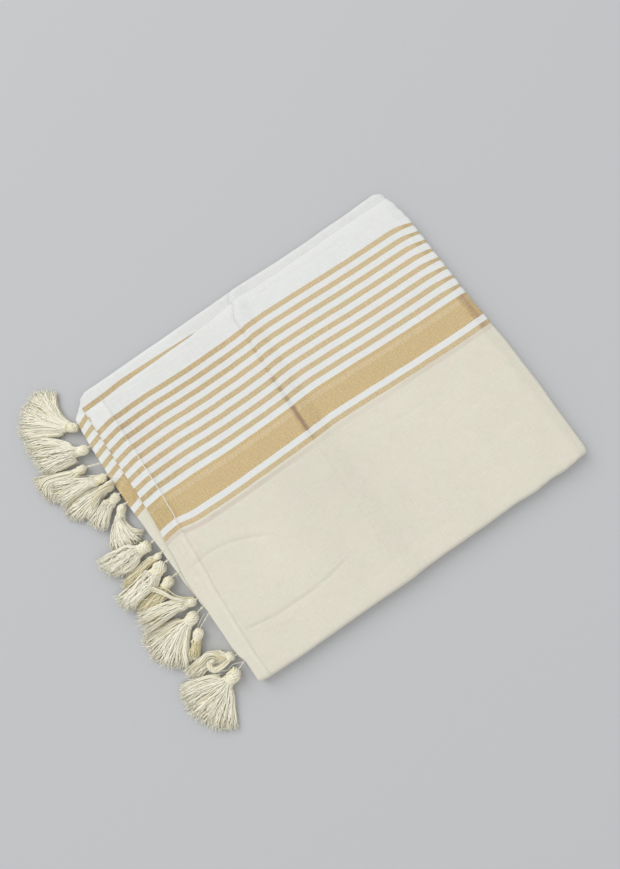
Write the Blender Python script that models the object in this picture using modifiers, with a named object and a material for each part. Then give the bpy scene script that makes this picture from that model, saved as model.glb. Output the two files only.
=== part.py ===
"""Folded cotton saree, lying flat, with its tasselled hems at the left.

Frame: metres, +Z up, origin at the centre of the packet's flat underside.
+X runs along the cloth's stripes, away from the tassels. +Y runs towards the selvedges.
"""

import math

import bmesh
import bpy
from mathutils import Vector

# Packet
PACKET_X = 0.166
NEAR_Y = -0.1455
FAR_Y = 0.148
SELVEDGE_Y = 0.137
FLOOR_GAP = 0.0006
SEAM_GAP = 0.0003

# Heights of the upper faces of the flat layers, and the thickness of their walls
CORE_TOP = 0.0076
THIRD_TOP = 0.0096
SECOND_TOP = 0.0110
TOP_TOP = 0.0125
LAYER_WALL = 0.0010
TOP_WALL = 0.0011
HEM_EXTRA = 0.0005
HEM_WIDTH = 0.0155
HEM_INNER_X = -PACKET_X + HEM_WIDTH

# Folds where a layer turns down, and the shares of the turn where its points lie
NEAR_FOLD_RADIUS = 0.0060
NEAR_FOLD_TURN = math.radians(150)
NEAR_TURN_SHARES = (0.14, 0.29, 0.45, 0.62, 0.8, 1.0)
RIGHT_FOLD_RADIUS = 0.0042
RIGHT_FOLD_TURN = math.radians(98)
RIGHT_TURN_SHARES = (0.28, 0.52, 0.76, 1.0)
RIGHT_FOLD_DROP = 1.15
FAR_FOLD_RADIUS = 0.0048
FAR_FOLD_TURN = math.radians(92)
FAR_TURN_SHARES = (1.0, 0.75, 0.5, 0.25)

# Cross crease, left by an earlier fold: a sharp valley with a rounded hump on its right
CREASE_X = -0.0125
CREASE_BEND_Y = 0.05
CREASE_LEAN_FAR = 0.045
CREASE_LEAN_NEAR = 0.0135
CREASE_FADE_Y = -0.005
CREASE_FADE_LENGTH = 0.016
CREASE_FAINTEST = 0.28
VALLEY_DEPTH = 0.0011
VALLEY_HALF = 0.0032
HUMP_RISE = 0.0015
HUMP_OFFSET = 0.0065
HUMP_HALF = 0.0105
LEFT_SWELL = 0.0004
LEFT_SWELL_OFFSET = -0.009
LEFT_SWELL_HALF = 0.012
CREASE_STATIONS = (-0.0090, -0.0052, -0.0028, 0.0, 0.0030, 0.0065, 0.0105, 0.0150)
CREASE_CLEAR_LEFT = 0.017
CREASE_CLEAR_RIGHT = 0.022

# Slow swell of every layer: its height, and its waves in radians a metre
SWELL_RISE = 0.00025
SWELL_ALONG = 21
SWELL_SLANT = 9
SWELL_ACROSS = 17
SWELL_START = 0.6

# Body creases of the top layer: small raised lines
BODY_CREASES = (
    # start x, start y, end x, end y, sag, rise, half width
    (-0.140, -0.107, -0.044, -0.103, -0.006, 0.0007, 0.009),
    (-0.145, -0.033, -0.080, -0.056, 0.003, 0.0005, 0.010),
    (0.030, -0.020, 0.120, -0.036, 0.004, 0.0004, 0.012),
)

# Grid of each layer: its steps along X and Y, and the depths close to its far edge
TOP_STEP_X = 0.0135
TOP_STEP_Y = 0.0145
TOP_FAR_DEPTHS = (SELVEDGE_Y, 0.1310)
TOP_FIRST_STEP_Y = 0.1200
SECOND_STEP_X = 0.0340
SECOND_STEP_Y = 0.0408
SECOND_LAST_X = 0.1500
SECOND_FAR_DEPTHS = (0.1385, 0.1345, 0.1290)
SECOND_FIRST_STEP_Y = 0.1080
THIRD_STEP_X = 0.0440
THIRD_STEP_Y = 0.0360
THIRD_LAST_X = 0.1450
THIRD_RIGHT_X = 0.1585
THIRD_FAR_DEPTHS = (0.1400, 0.1360, 0.1300)
THIRD_FIRST_STEP_Y = 0.1150
HIDDEN_NEAR_Y = -0.1370

# How far from an outline its shape is blended into the grid
LEFT_REACH = 0.026
RIGHT_REACH = 0.030
LONG_REACH = 0.040

# Upper outline of the top layer
TOP_LEFT_EDGE = (
    # y, x
    (0.135, -0.1655),
    (0.110, -0.1665),
    (0.060, -0.1652),
    (0.020, -0.1648),
    (-0.015, -0.1662),
    (-0.046, -0.1685),
    (-0.075, -0.1668),
    (-0.110, -0.1655),
    (-0.122, -0.1625),
    (-0.135, -0.1612),
    (-0.146, -0.1590),
)
TOP_RIGHT_EDGE = (
    # y, x
    (0.137, 0.1616),
    (0.125, 0.1633),
    (0.108, 0.1658),
    (0.020, 0.1652),
    (-0.030, 0.1668),
    (-0.070, 0.1662),
    (-0.105, 0.1645),
    (-0.138, 0.1640),
    (-0.146, 0.1615),
)
TOP_SELVEDGE = (
    # x, y
    (-0.166, 0.1338),
    (-0.110, 0.1335),
    (-0.045, 0.1350),
    (-0.005, 0.1382),
    (0.050, 0.1370),
    (0.110, 0.1376),
    (0.166, 0.1368),
)
NEAR_FOLD_EDGE = (
    # x, y
    (-0.166, -0.1428),
    (-0.130, -0.1436),
    (-0.075, -0.1450),
    (0.005, -0.1462),
    (0.040, -0.1446),
    (0.100, -0.1440),
    (0.166, -0.1430),
)

# The second layer reaches past the top one along the far side
SECOND_LEFT_EDGE = (
    # y, x
    (0.1490, -0.1575),
    (0.1455, -0.1632),
    (0.1410, -0.1668),
    (0.1200, -0.1672),
    (0.0000, -0.1640),
    (-0.1370, -0.1580),
)
SECOND_RIGHT_EDGE = (
    # y, x
    (0.1490, 0.1565),
    (0.1440, 0.1600),
    (0.1385, 0.1605),
    (0.1345, 0.1560),
    (-0.1370, 0.1590),
)
SECOND_FAR_EDGE = (
    # x, y
    (-0.166, 0.1474),
    (-0.110, 0.1476),
    (0.002, 0.1492),
    (0.060, 0.1474),
    (0.166, 0.1480),
)

# The third layer reaches past the others along the left side, where it droops
THIRD_LEFT_EDGE = (
    # y, x
    (0.1400, -0.1665),
    (0.1360, -0.1715),
    (0.1310, -0.1765),
    (0.1150, -0.1785),
    (0.0700, -0.1795),
    (0.0400, -0.1778),
    (0.0140, -0.1755),
    (-0.0150, -0.1732),
    (-0.0400, -0.1713),
    (-0.0600, -0.1690),
    (-0.0900, -0.1640),
    (-0.1370, -0.1590),
)
THIRD_DROOP = 0.0022
THIRD_DROOP_START_X = -0.1655
THIRD_DROOP_REACH = 0.013

# Hidden layers: one rounded solid whose sides show the folds of the cloth
CORE_LEFT = -0.1630
CORE_RIGHT = 0.1640
CORE_FAR = 0.1462
CORE_NEAR = -0.1395
CORE_CORNER = 0.0070
CORE_RIDGES = 5
RIDGE_DEPTH = 0.0011
RIDGE_SHOULDERS = (0.22, 0.78)
RIDGE_DRIFT = 0.0007
DRIFT_ALONG = 23
DRIFT_ACROSS = 31
DRIFT_STEP = 2.4
CORE_FOOT = 0.0016
CORE_FOOT_SHARE = 0.25
CORE_SIDE_POINTS = 13
CORE_CORNER_POINTS = 3

# Tassels
HEAD_FLOOR_GAP = 0.0004
THREAD_RADIUS = 0.0007
THREAD_MIDDLE = 0.55
NECK = 0.96
HEAD_STATIONS = (
    # share of the head radius along the tassel, width, height
    (-0.96, 0.24, 0.24),
    (-0.62, 0.80, 0.80),
    (0.05, 1.00, 1.00),
    (0.62, 0.82, 0.80),
    (0.98, 0.64, 0.62),
    (1.35, 0.86, 0.80),
)
ROOT_ALONG = 1.35
ROOT_WIDTH = 0.80
ROOT_LIFT = 0.40
ROOT_DEPTH = 0.10
LOCK_STAGGER = 0.45
LOCK_FILL = 0.62
LOCK_WIDEST = 0.0021
LOCK_TIP_WIDTH = 0.0011
LOCK_DEPTHS = (0.0019, 0.0017, 0.0007)
LOCK_LENGTH_SHARE = 0.95
LOCK_LENGTH_VARIES = 0.07
SPREAD_AT_ROOT = 0.4
LOWER_TIP = 0.0018
UPPER_TIP = 0.0040
SETTLE = 0.32
LAY_LOW = 0.0
LAY_OVER = 0.0066

TASSELS = (
    # hem y, head x, head y, head radius, angle, spread, curl, length, skew, columns, lay
    (0.1275, -0.1857, 0.1275, 0.0054, 129, 46, 0, 0.046, -0.02, 8, LAY_LOW),
    (0.1035, -0.1876, 0.1038, 0.0054, 159, 17, 0, 0.039, 0.00, 7, LAY_OVER),
    (0.0855, -0.1974, 0.0912, 0.0044, 161, 16, 25, 0.037, 0.00, 6, LAY_LOW),
    (0.0735, -0.1892, 0.0748, 0.0046, 160, 18, 0, 0.036, 0.00, 6, LAY_OVER),
    (0.0640, -0.1864, 0.0633, 0.0052, 182, 20, 2, 0.038, 0.00, 7, LAY_LOW),
    (0.0525, -0.1860, 0.0512, 0.0046, 206, 18, 0, 0.029, 0.00, 5, LAY_OVER),
    (0.0420, -0.1862, 0.0402, 0.0044, 222, 27, 44, 0.032, 0.00, 7, LAY_LOW),
    (0.0010, -0.1844, 0.0010, 0.0054, 177, 17, -4, 0.038, 0.00, 7, LAY_OVER),
    (-0.0112, -0.1797, -0.0113, 0.0033, 184, 9, 0, 0.034, 0.00, 4, LAY_LOW),
    (-0.0200, -0.1842, -0.0215, 0.0054, 185, 15, 0, 0.039, 0.00, 7, LAY_OVER),
    (-0.0335, -0.1834, -0.0350, 0.0050, 196, 22, 0, 0.030, 0.00, 6, LAY_LOW),
    (-0.0605, -0.1756, -0.0600, 0.0046, 158, 21, 17, 0.041, 0.00, 7, LAY_OVER),
    (-0.0690, -0.1812, -0.0716, 0.0054, 205, 34, 0, 0.042, -0.24, 8, LAY_LOW),
    (-0.0762, -0.1846, -0.0852, 0.0048, 236, 12, 0, 0.010, 0.00, 4, LAY_LOW),
    (-0.1165, -0.1730, -0.1152, 0.0044, 151, 14, 40, 0.034, 0.00, 6, LAY_LOW),
    (-0.1235, -0.1768, -0.1292, 0.0054, 204, 41, 0, 0.043, 0.00, 8, LAY_LOW),
)

# Angles above which a joint between two faces is left sharp
CORE_SHARP = math.radians(50)
TASSEL_SHARP = math.radians(60)

# Colours
WHITE_COTTON = (0.80, 0.80, 0.78, 1.0)
CREAM_COTTON = (0.72, 0.69, 0.58, 1.0)
EDGE_COTTON = (0.76, 0.75, 0.70, 1.0)
TASSEL_COTTON = (0.70, 0.66, 0.53, 1.0)
COTTON_ROUGHNESS = 0.9


def clear_scene():
    for item in list(bpy.data.objects):
        bpy.data.objects.remove(item, do_unlink=True)


def make_collection(name):
    collection = bpy.data.collections.new(name)
    bpy.context.scene.collection.children.link(collection)
    return collection


def cotton(name, colour):
    material = bpy.data.materials.new(name)
    material.use_nodes = True
    shader = material.node_tree.nodes["Principled BSDF"]
    shader.inputs["Base Color"].default_value = colour
    shader.inputs["Roughness"].default_value = COTTON_ROUGHNESS
    shader.inputs["Metallic"].default_value = 0.0
    return material


def follow(table, at):
    """Smooth value of a two-column table at a place along its first column."""
    rows = sorted(table)
    if at <= rows[0][0]:
        return rows[0][1]
    for (low, low_value), (high, high_value) in zip(rows, rows[1:]):
        if at <= high:
            share = (at - low) / (high - low)
            share = share * share * (3 - 2 * share)
            return low_value + (high_value - low_value) * share
    return rows[-1][1]


def bump(offset, half_width):
    """A rounded bump, 1 at its centre and 0 beyond its half width."""
    share = min(abs(offset) / half_width, 1.0)
    return (1 - share * share) ** 2


def crease_line(y):
    lean = CREASE_LEAN_FAR if y > CREASE_BEND_Y else CREASE_LEAN_NEAR
    return CREASE_X + lean * (y - CREASE_BEND_Y)


def crease_strength(y):
    """The crease is sharpest across the border and fades in the body."""
    fade = 1 / (1 + math.exp(-(y - CREASE_FADE_Y) / CREASE_FADE_LENGTH))
    return CREASE_FAINTEST + (1 - CREASE_FAINTEST) * fade


def relief(x, y):
    """Height that the cross crease and a slow swell add to every layer."""
    offset = x - crease_line(y)
    valley = -VALLEY_DEPTH * bump(offset, VALLEY_HALF)
    hump = HUMP_RISE * bump(offset - HUMP_OFFSET, HUMP_HALF)
    left = LEFT_SWELL * bump(offset - LEFT_SWELL_OFFSET, LEFT_SWELL_HALF)
    wave = math.sin(SWELL_ALONG * x + SWELL_SLANT * y) * math.cos(SWELL_ACROSS * y - SWELL_START)
    return crease_strength(y) * (valley + hump + left) + SWELL_RISE * wave


def body_creases(x, y):
    height = 0.0
    for start_x, start_y, end_x, end_y, sag, rise, half in BODY_CREASES:
        share = (x - start_x) / (end_x - start_x)
        line = start_y + (end_y - start_y) * share + sag * 4 * share * (1 - share)
        height += rise * bump(share - 0.5, 0.6) * bump(y - line, half)
    return height


def stops(start, end, step):
    """Evenly spaced values from one place to another, about a step apart."""
    count = max(1, round(abs(end - start) / step))
    return [start + (end - start) * i / count for i in range(count + 1)]


def columns(step):
    """Places along X, closer at the hem and across the crease."""
    hem = [-PACKET_X, -PACKET_X + HEM_WIDTH / 2, HEM_INNER_X]
    left = stops(HEM_INNER_X + TOP_WALL, CREASE_X - CREASE_CLEAR_LEFT, step)
    crease = [CREASE_X + offset for offset in CREASE_STATIONS]
    right = stops(CREASE_X + CREASE_CLEAR_RIGHT, PACKET_X - RIGHT_FOLD_RADIUS, step)
    return hem + left + crease + right


def edge_pull(place, edge, reach):
    """How much a point follows an edge: fully on it, not at all a reach away."""
    return max(0.0, 1 - abs(place - edge) / reach)


def crease_pull(x, y):
    """How far a point near the crease moves so that the grid runs along it."""
    return (crease_line(y) - CREASE_X) * edge_pull(x, CREASE_X, LONG_REACH)


def layer_point(x, y, left_edge, right_edge, far_edge, far_y):
    """Moves a grid point to the cut outline of its layer and to the crease."""
    left = (follow(left_edge, y) + PACKET_X) * edge_pull(x, -PACKET_X, LEFT_REACH)
    right = (follow(right_edge, y) - PACKET_X) * edge_pull(x, PACKET_X, RIGHT_REACH)
    far = (follow(far_edge, x) - far_y) * edge_pull(y, far_y, LONG_REACH)
    return x + left + right + crease_pull(x, y), y + far


def flatness(turn):
    """How much of a crease is left on cloth that has turned this far down."""
    return math.cos(min(turn, math.pi / 2))


def solid_from_grid(name, rows, wall, material, collection, wall_shares=None):
    """Makes a walled sheet from rows of points on its upper face."""
    mesh = bpy.data.meshes.new(name)
    shape = bmesh.new()
    lines = [[shape.verts.new(point) for point in row] for row in rows]
    for upper, lower in zip(lines, lines[1:]):
        for i in range(len(upper) - 1):
            shape.faces.new((upper[i], lower[i], lower[i + 1], upper[i + 1]))
    shape.normal_update()
    shape.to_mesh(mesh)
    shape.free()
    sheet = bpy.data.objects.new(name, mesh)
    collection.objects.link(sheet)
    mesh.materials.append(material)
    mesh.shade_smooth()
    walls = sheet.modifiers.new("Wall", "SOLIDIFY")
    walls.thickness = wall
    walls.offset = -1.0
    walls.use_rim = True
    if wall_shares:
        group = sheet.vertex_groups.new(name="wall_share")
        width = len(rows[0])
        for number in range(len(rows) * width):
            group.add([number], wall_shares[number % width], "REPLACE")
        walls.vertex_group = "wall_share"
    return sheet


def top_point(x_flat, right_turn, y_flat, near_turn):
    """Place of a point of the top layer, which turns down at its right and near sides."""
    x_reach = math.sin(right_turn)
    y_reach = math.sin(near_turn)
    x = x_flat + RIGHT_FOLD_RADIUS * x_reach * math.sqrt(1 - y_reach * y_reach / 2)
    y = y_flat - NEAR_FOLD_RADIUS * y_reach * math.sqrt(1 - x_reach * x_reach / 2)
    x_at, y_at = layer_point(x, y, TOP_LEFT_EDGE, TOP_RIGHT_EDGE, TOP_SELVEDGE, SELVEDGE_Y)
    y_at += (follow(NEAR_FOLD_EDGE, x) - NEAR_Y) * edge_pull(y, NEAR_Y, LONG_REACH)
    rise = (relief(x_at, y_at) + body_creases(x_at, y_at)) * flatness(near_turn) * flatness(right_turn)
    if x_flat <= HEM_INNER_X:
        rise += HEM_EXTRA * flatness(near_turn)
    near_height = TOP_TOP - NEAR_FOLD_RADIUS * (1 - math.cos(near_turn))
    right_drop = RIGHT_FOLD_RADIUS * (1 - math.cos(right_turn)) * RIGHT_FOLD_DROP
    share = (near_height - FLOOR_GAP) / (TOP_TOP - FLOOR_GAP)
    return x_at, y_at, near_height - right_drop * share + rise


def make_top_layer(material, collection):
    flat_near = NEAR_Y + NEAR_FOLD_RADIUS
    flat_right = PACKET_X - RIGHT_FOLD_RADIUS
    xs = [x for x in columns(TOP_STEP_X) if x < flat_right - HEM_EXTRA] + [flat_right]
    ys = [*TOP_FAR_DEPTHS, *stops(TOP_FIRST_STEP_Y, flat_near, TOP_STEP_Y)]
    grid_x = [(x, 0.0) for x in xs] + [(flat_right, RIGHT_FOLD_TURN * share) for share in RIGHT_TURN_SHARES]
    grid_y = [(y, 0.0) for y in ys] + [(flat_near, NEAR_FOLD_TURN * share) for share in NEAR_TURN_SHARES]
    rows = [[top_point(x, right_turn, y, near_turn) for x, right_turn in grid_x] for y, near_turn in grid_y]
    hem_wall = TOP_WALL + HEM_EXTRA
    wall_shares = [1.0 if x <= HEM_INNER_X else TOP_WALL / hem_wall for x, turn in grid_x]
    return solid_from_grid("top_layer", rows, hem_wall, material, collection, wall_shares)


def make_second_layer(material, collection):
    flat_far = FAR_Y - FAR_FOLD_RADIUS
    xs = [x for x in columns(SECOND_STEP_X) if x < SECOND_LAST_X] + [PACKET_X]
    ys = [flat_far, *SECOND_FAR_DEPTHS, *stops(SECOND_FIRST_STEP_Y, HIDDEN_NEAR_Y, SECOND_STEP_Y)]
    grid_y = [(flat_far, FAR_FOLD_TURN * share) for share in FAR_TURN_SHARES] + [(y, 0.0) for y in ys]
    rows = []
    for y_flat, far_turn in grid_y:
        row = []
        for x in xs:
            y = y_flat + FAR_FOLD_RADIUS * math.sin(far_turn)
            x_at, y_at = layer_point(x, y, SECOND_LEFT_EDGE, SECOND_RIGHT_EDGE, SECOND_FAR_EDGE, FAR_Y)
            drop = FAR_FOLD_RADIUS * (1 - math.cos(far_turn))
            row.append((x_at, y_at, SECOND_TOP - drop + relief(x_at, y_at) * flatness(far_turn)))
        rows.append(row)
    return solid_from_grid("second_layer", rows, LAYER_WALL, material, collection)


def third_layer_rows():
    xs = [x for x in columns(THIRD_STEP_X) if x < THIRD_LAST_X] + [THIRD_RIGHT_X]
    rows = []
    for y in [*THIRD_FAR_DEPTHS, *stops(THIRD_FIRST_STEP_Y, HIDDEN_NEAR_Y, THIRD_STEP_Y)]:
        row = []
        for x in xs:
            left = (follow(THIRD_LEFT_EDGE, y) + PACKET_X) * edge_pull(x, -PACKET_X, RIGHT_REACH)
            x_at = x + left + crease_pull(x, y)
            past = max(0.0, THIRD_DROOP_START_X - x_at) / THIRD_DROOP_REACH
            row.append((x_at, y, THIRD_TOP - THIRD_DROOP * past * past + relief(x_at, y)))
        rows.append(row)
    return rows


def make_third_layer(material, collection):
    return solid_from_grid("third_layer", third_layer_rows(), LAYER_WALL, material, collection)


def hem_point(y):
    """Middle of the third layer's left edge at a depth, where tassels are tied on."""
    edge = [Vector(row[0]) for row in third_layer_rows()]
    for far, near in zip(edge, edge[1:]):
        if near.y <= y:
            middle = far.lerp(near, (far.y - y) / (far.y - near.y))
            break
    return Vector((middle.x, y, middle.z - LAYER_WALL / 2))


def side_points(start, end, out):
    """Points between two corners of the packet, with their outward direction."""
    shares = [step / CORE_SIDE_POINTS for step in range(1, CORE_SIDE_POINTS)]
    return [(start[0] + (end[0] - start[0]) * s, start[1] + (end[1] - start[1]) * s, out) for s in shares]


def core_outline():
    """Points and outward directions round the packet, with rounded corners."""
    corners = (
        # x, y, angle where the corner starts
        (CORE_RIGHT, CORE_NEAR, -90),
        (CORE_RIGHT, CORE_FAR, 0),
        (CORE_LEFT, CORE_FAR, 90),
        (CORE_LEFT, CORE_NEAR, 180),
    )
    arcs = []
    for x, y, start in corners:
        centre_x = x - math.copysign(CORE_CORNER, x)
        centre_y = y - math.copysign(CORE_CORNER, y)
        arc = []
        for step in range(CORE_CORNER_POINTS + 1):
            angle = math.radians(start + 90 * step / CORE_CORNER_POINTS)
            out = (math.cos(angle), math.sin(angle))
            arc.append((centre_x + CORE_CORNER * out[0], centre_y + CORE_CORNER * out[1], out))
        arcs.append(arc)
    points = []
    for arc, after in zip(arcs, arcs[1:] + arcs[:1]):
        points += arc + side_points(arc[-1], after[0], after[0][2])
    return points


def core_inset(height, x, y, out):
    """How far the side lies inside the outline at a height."""
    near = max(0.0, -out[1])
    share = height / CORE_TOP
    ridge = share * CORE_RIDGES
    number = min(int(ridge + 0.001), CORE_RIDGES - 1)
    roundness = max(0.0, math.sin(math.pi * (ridge - number))) ** 0.5
    groove = RIDGE_DEPTH * (1 - roundness)
    drift = RIDGE_DRIFT * (1 + math.sin(DRIFT_ALONG * x + DRIFT_ACROSS * y + DRIFT_STEP * number))
    foot = CORE_FOOT * max(0.0, 1 - share / CORE_FOOT_SHARE) ** 2
    return (groove + foot + drift) * (1 - near)


def core_point(x, y, out, height):
    """Place on the packet's side, which follows the edges of the layers on it."""
    inset = core_inset(height, x, y, out)
    x_at = x + (follow(TOP_RIGHT_EDGE, y) - PACKET_X) * edge_pull(x, PACKET_X, RIGHT_REACH)
    y_at = y + (follow(NEAR_FOLD_EDGE, x) - NEAR_Y) * edge_pull(y, NEAR_Y, LONG_REACH)
    y_at += (follow(SECOND_FAR_EDGE, x) - FAR_Y) * edge_pull(y, FAR_Y, LONG_REACH)
    return x_at - out[0] * inset, y_at - out[1] * inset, height


def make_folded_layers(material, collection):
    outline = core_outline()
    ridge_height = CORE_TOP / CORE_RIDGES
    levels = [0.0]
    for ridge in range(CORE_RIDGES):
        levels += [ridge_height * (ridge + share) for share in (*RIDGE_SHOULDERS, 1.0)]
    mesh = bpy.data.meshes.new("folded_layers")
    shape = bmesh.new()
    rings = [[shape.verts.new(core_point(x, y, out, z)) for x, y, out in outline] for z in levels]
    count = len(outline)
    for lower, upper in zip(rings, rings[1:]):
        for i in range(count):
            after = (i + 1) % count
            shape.faces.new((lower[i], lower[after], upper[after], upper[i]))
    shape.faces.new(list(reversed(rings[0])))
    shape.faces.new(rings[-1])
    shape.normal_update()
    shape.to_mesh(mesh)
    shape.free()
    mesh.materials.append(material)
    mesh.shade_smooth()
    mesh.set_sharp_from_angle(angle=CORE_SHARP)
    core = bpy.data.objects.new("folded_layers", mesh)
    collection.objects.link(core)
    return core


def cell_corners(lock_columns):
    """Corner places of the skirt's root cells, on a unit disc, three lines of them."""
    lines = []
    for line in (-1.0, 0.0, 1.0):
        places = []
        for step in range(lock_columns + 1):
            across = -1 + 2 * step / lock_columns
            places.append((across * math.sqrt(1 - line * line / 2), line * math.sqrt(1 - across * across / 2)))
        lines.append(places)
    return lines


def ring_order(lock_columns):
    """Line and step of each root corner round the rim, counter-clockwise seen from the skirt."""
    lower = [(0, step) for step in range(lock_columns + 1)]
    upper = [(2, step) for step in range(lock_columns, -1, -1)]
    return [*lower, (1, lock_columns), *upper, (1, 0)]


def wobble(seed):
    """A fixed, uneven value from -1 to 1 for each seed."""
    value = math.sin(seed * 12.9898 + 4.1414) * 43758.5453
    return 2 * (value - math.floor(value)) - 1


def flat_way(degrees):
    return Vector((math.cos(math.radians(degrees)), math.sin(math.radians(degrees)), 0))


def lock_path(head, spec, column, line, seed):
    """Centre points, sideways directions and half sizes along one lock of yarn."""
    radius, angle, spread, curl, length, skew, count, lay = spec
    across = (2 * column + 1) / count - 1
    if line:
        across += math.copysign(LOCK_STAGGER / count, -across)
    length *= (1 + skew * across) * (LOCK_LENGTH_SHARE + LOCK_LENGTH_VARIES * wobble(seed))
    place = head + flat_way(angle) * radius * ROOT_ALONG + flat_way(angle + 90) * across * radius * ROOT_WIDTH
    root_height = head.z + (ROOT_LIFT if line else -ROOT_LIFT) * radius
    end_height = (UPPER_TIP if line else LOWER_TIP) + lay
    fan = math.sin(math.radians(spread)) * ROOT_WIDTH
    last = len(LOCK_DEPTHS)
    steps = []
    for step, deep in enumerate(LOCK_DEPTHS, start=1):
        share = step / last
        turn = angle + spread * across * (SPREAD_AT_ROOT + (1 - SPREAD_AT_ROOT) * share) + curl * share
        place = place + flat_way(turn) * length / last
        pitch = 2 * (radius * ROOT_WIDTH + length * share * fan) / count
        width = min(pitch * LOCK_FILL, LOCK_WIDEST if step < last else LOCK_TIP_WIDTH)
        height = root_height + (end_height - root_height) * share ** SETTLE
        steps.append((Vector((place.x, place.y, height)), flat_way(turn + 90), width / 2, deep / 2))
    return steps


def thread_start(hem_y, neck):
    """Where a tie thread's end stands, a seam gap off the hem."""
    hem = hem_point(hem_y)
    way = (neck - hem).normalized()
    clear = SEAM_GAP + THREAD_RADIUS * math.sqrt(1 - way.x * way.x)
    return hem - Vector((clear, 0, 0))


def make_tassel(number, row, material, collection):
    hem_y, head_x, head_y, radius, angle, spread, curl, length, skew, count, lay = row
    head = Vector((head_x, head_y, HEAD_FLOOR_GAP + radius))
    ahead = flat_way(angle)
    rising = Vector((0, 0, 1))
    lines = cell_corners(count)
    rim = ring_order(count)

    neck = head - ahead * radius * NECK
    start = thread_start(hem_y, neck)
    pull = (neck - start).normalized()
    stations = [(place, pull, THREAD_RADIUS, THREAD_RADIUS) for place in (start, start.lerp(neck, THREAD_MIDDLE))]
    for along, wide, high in HEAD_STATIONS:
        stations.append((head + ahead * radius * along, ahead, radius * wide, radius * high))

    name = f"tassel_{number:02d}"
    mesh = bpy.data.meshes.new(name)
    shape = bmesh.new()
    rings = []
    for centre, way, wide, high in stations:
        side = rising.cross(way).normalized()
        up = way.cross(side).normalized()
        ring = []
        for line, step in rim:
            across, lift = lines[line][step]
            ring.append(shape.verts.new(centre + side * across * wide + up * lift * high))
        rings.append(ring)
    for back, front in zip(rings, rings[1:]):
        for i in range(len(rim)):
            after = (i + 1) % len(rim)
            shape.faces.new((back[after], back[i], front[i], front[after]))
    shape.faces.new(rings[0])

    corner = dict(zip(rim, rings[-1]))
    for step in range(1, count):
        across, lift = lines[1][step]
        place = centre + side * across * wide + ahead * radius * ROOT_DEPTH
        corner[(1, step)] = shape.verts.new(place)
    spec = (radius, angle, spread, curl, length, skew, count, lay)
    for line in (0, 1):
        for column in range(count):
            cell = ((line, column), (line, column + 1), (line + 1, column + 1), (line + 1, column))
            previous = [corner[place] for place in cell]
            seed = number * 31 + line * 11 + column
            for place, way, half_wide, half_deep in lock_path(head, spec, column, line, seed):
                section = []
                for across, lift in ((-1, -1), (1, -1), (1, 1), (-1, 1)):
                    point = place + way * across * half_wide + rising * lift * half_deep
                    section.append(shape.verts.new(point))
                for i in range(4):
                    after = (i + 1) % 4
                    shape.faces.new((previous[i], section[i], section[after], previous[after]))
                previous = section
            shape.faces.new(previous[::-1])
    bmesh.ops.recalc_face_normals(shape, faces=shape.faces)
    shape.to_mesh(mesh)
    shape.free()
    mesh.materials.append(material)
    mesh.shade_smooth()
    mesh.set_sharp_from_angle(angle=TASSEL_SHARP)
    tassel = bpy.data.objects.new(name, mesh)
    collection.objects.link(tassel)
    return tassel


def main():
    clear_scene()
    collection = make_collection("folded_saree")
    cream = cotton("cream_cotton", CREAM_COTTON)
    white = cotton("white_cotton", WHITE_COTTON)
    edge = cotton("edge_cotton", EDGE_COTTON)
    yarn = cotton("tassel_cotton", TASSEL_COTTON)
    make_folded_layers(edge, collection)
    make_third_layer(white, collection)
    make_second_layer(white, collection)
    make_top_layer(cream, collection)
    for number, row in enumerate(TASSELS, start=1):
        make_tassel(number, row, yarn, collection)


main()
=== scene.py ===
# Looks of the folded cotton saree: thin cloth layers, layered fold edges, stitched hem and yarn tassels
import math

import bpy
import numpy as np
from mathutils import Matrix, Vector, noise

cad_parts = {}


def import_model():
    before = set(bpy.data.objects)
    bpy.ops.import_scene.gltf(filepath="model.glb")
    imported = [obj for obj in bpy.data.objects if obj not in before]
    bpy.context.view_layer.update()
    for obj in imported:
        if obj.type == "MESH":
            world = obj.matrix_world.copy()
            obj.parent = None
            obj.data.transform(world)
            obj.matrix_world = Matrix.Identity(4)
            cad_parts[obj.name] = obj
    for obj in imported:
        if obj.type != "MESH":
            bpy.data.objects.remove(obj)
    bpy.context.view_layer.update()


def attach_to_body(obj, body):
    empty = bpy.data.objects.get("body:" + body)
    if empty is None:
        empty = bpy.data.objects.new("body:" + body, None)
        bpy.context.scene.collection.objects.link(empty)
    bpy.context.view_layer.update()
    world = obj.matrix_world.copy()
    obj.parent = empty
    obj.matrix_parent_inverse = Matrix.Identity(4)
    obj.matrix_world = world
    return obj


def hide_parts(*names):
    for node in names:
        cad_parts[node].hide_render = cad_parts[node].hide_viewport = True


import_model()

MM = 0.001
TURN = 2 * math.pi
RNG = np.random.default_rng(11)

# Everything is in metres, apart from the tables that say millimetres

# Packet, as the part states it
PACKET_X = 0.166
NEAR_Y = -0.1455
FAR_Y = 0.148
SELVEDGE_Y = 0.137
FLOOR_GAP = 0.0006
LOWEST = 0.0002
THIRD_TOP = 0.0096
SECOND_TOP = 0.0110
TOP_TOP = 0.0125
HEM_EXTRA = 0.0005
HEM_WIDTH = 0.0155
HEM_INNER_X = -PACKET_X + HEM_WIDTH
NEAR_FOLD_RADIUS = 0.0060
NEAR_FOLD_TURN = math.radians(150)
RIGHT_FOLD_RADIUS = 0.0042
RIGHT_FOLD_TURN = math.radians(98)
RIGHT_FOLD_DROP = 1.15
FAR_FOLD_RADIUS = 0.0048
FAR_FOLD_TURN = math.radians(92)

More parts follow.
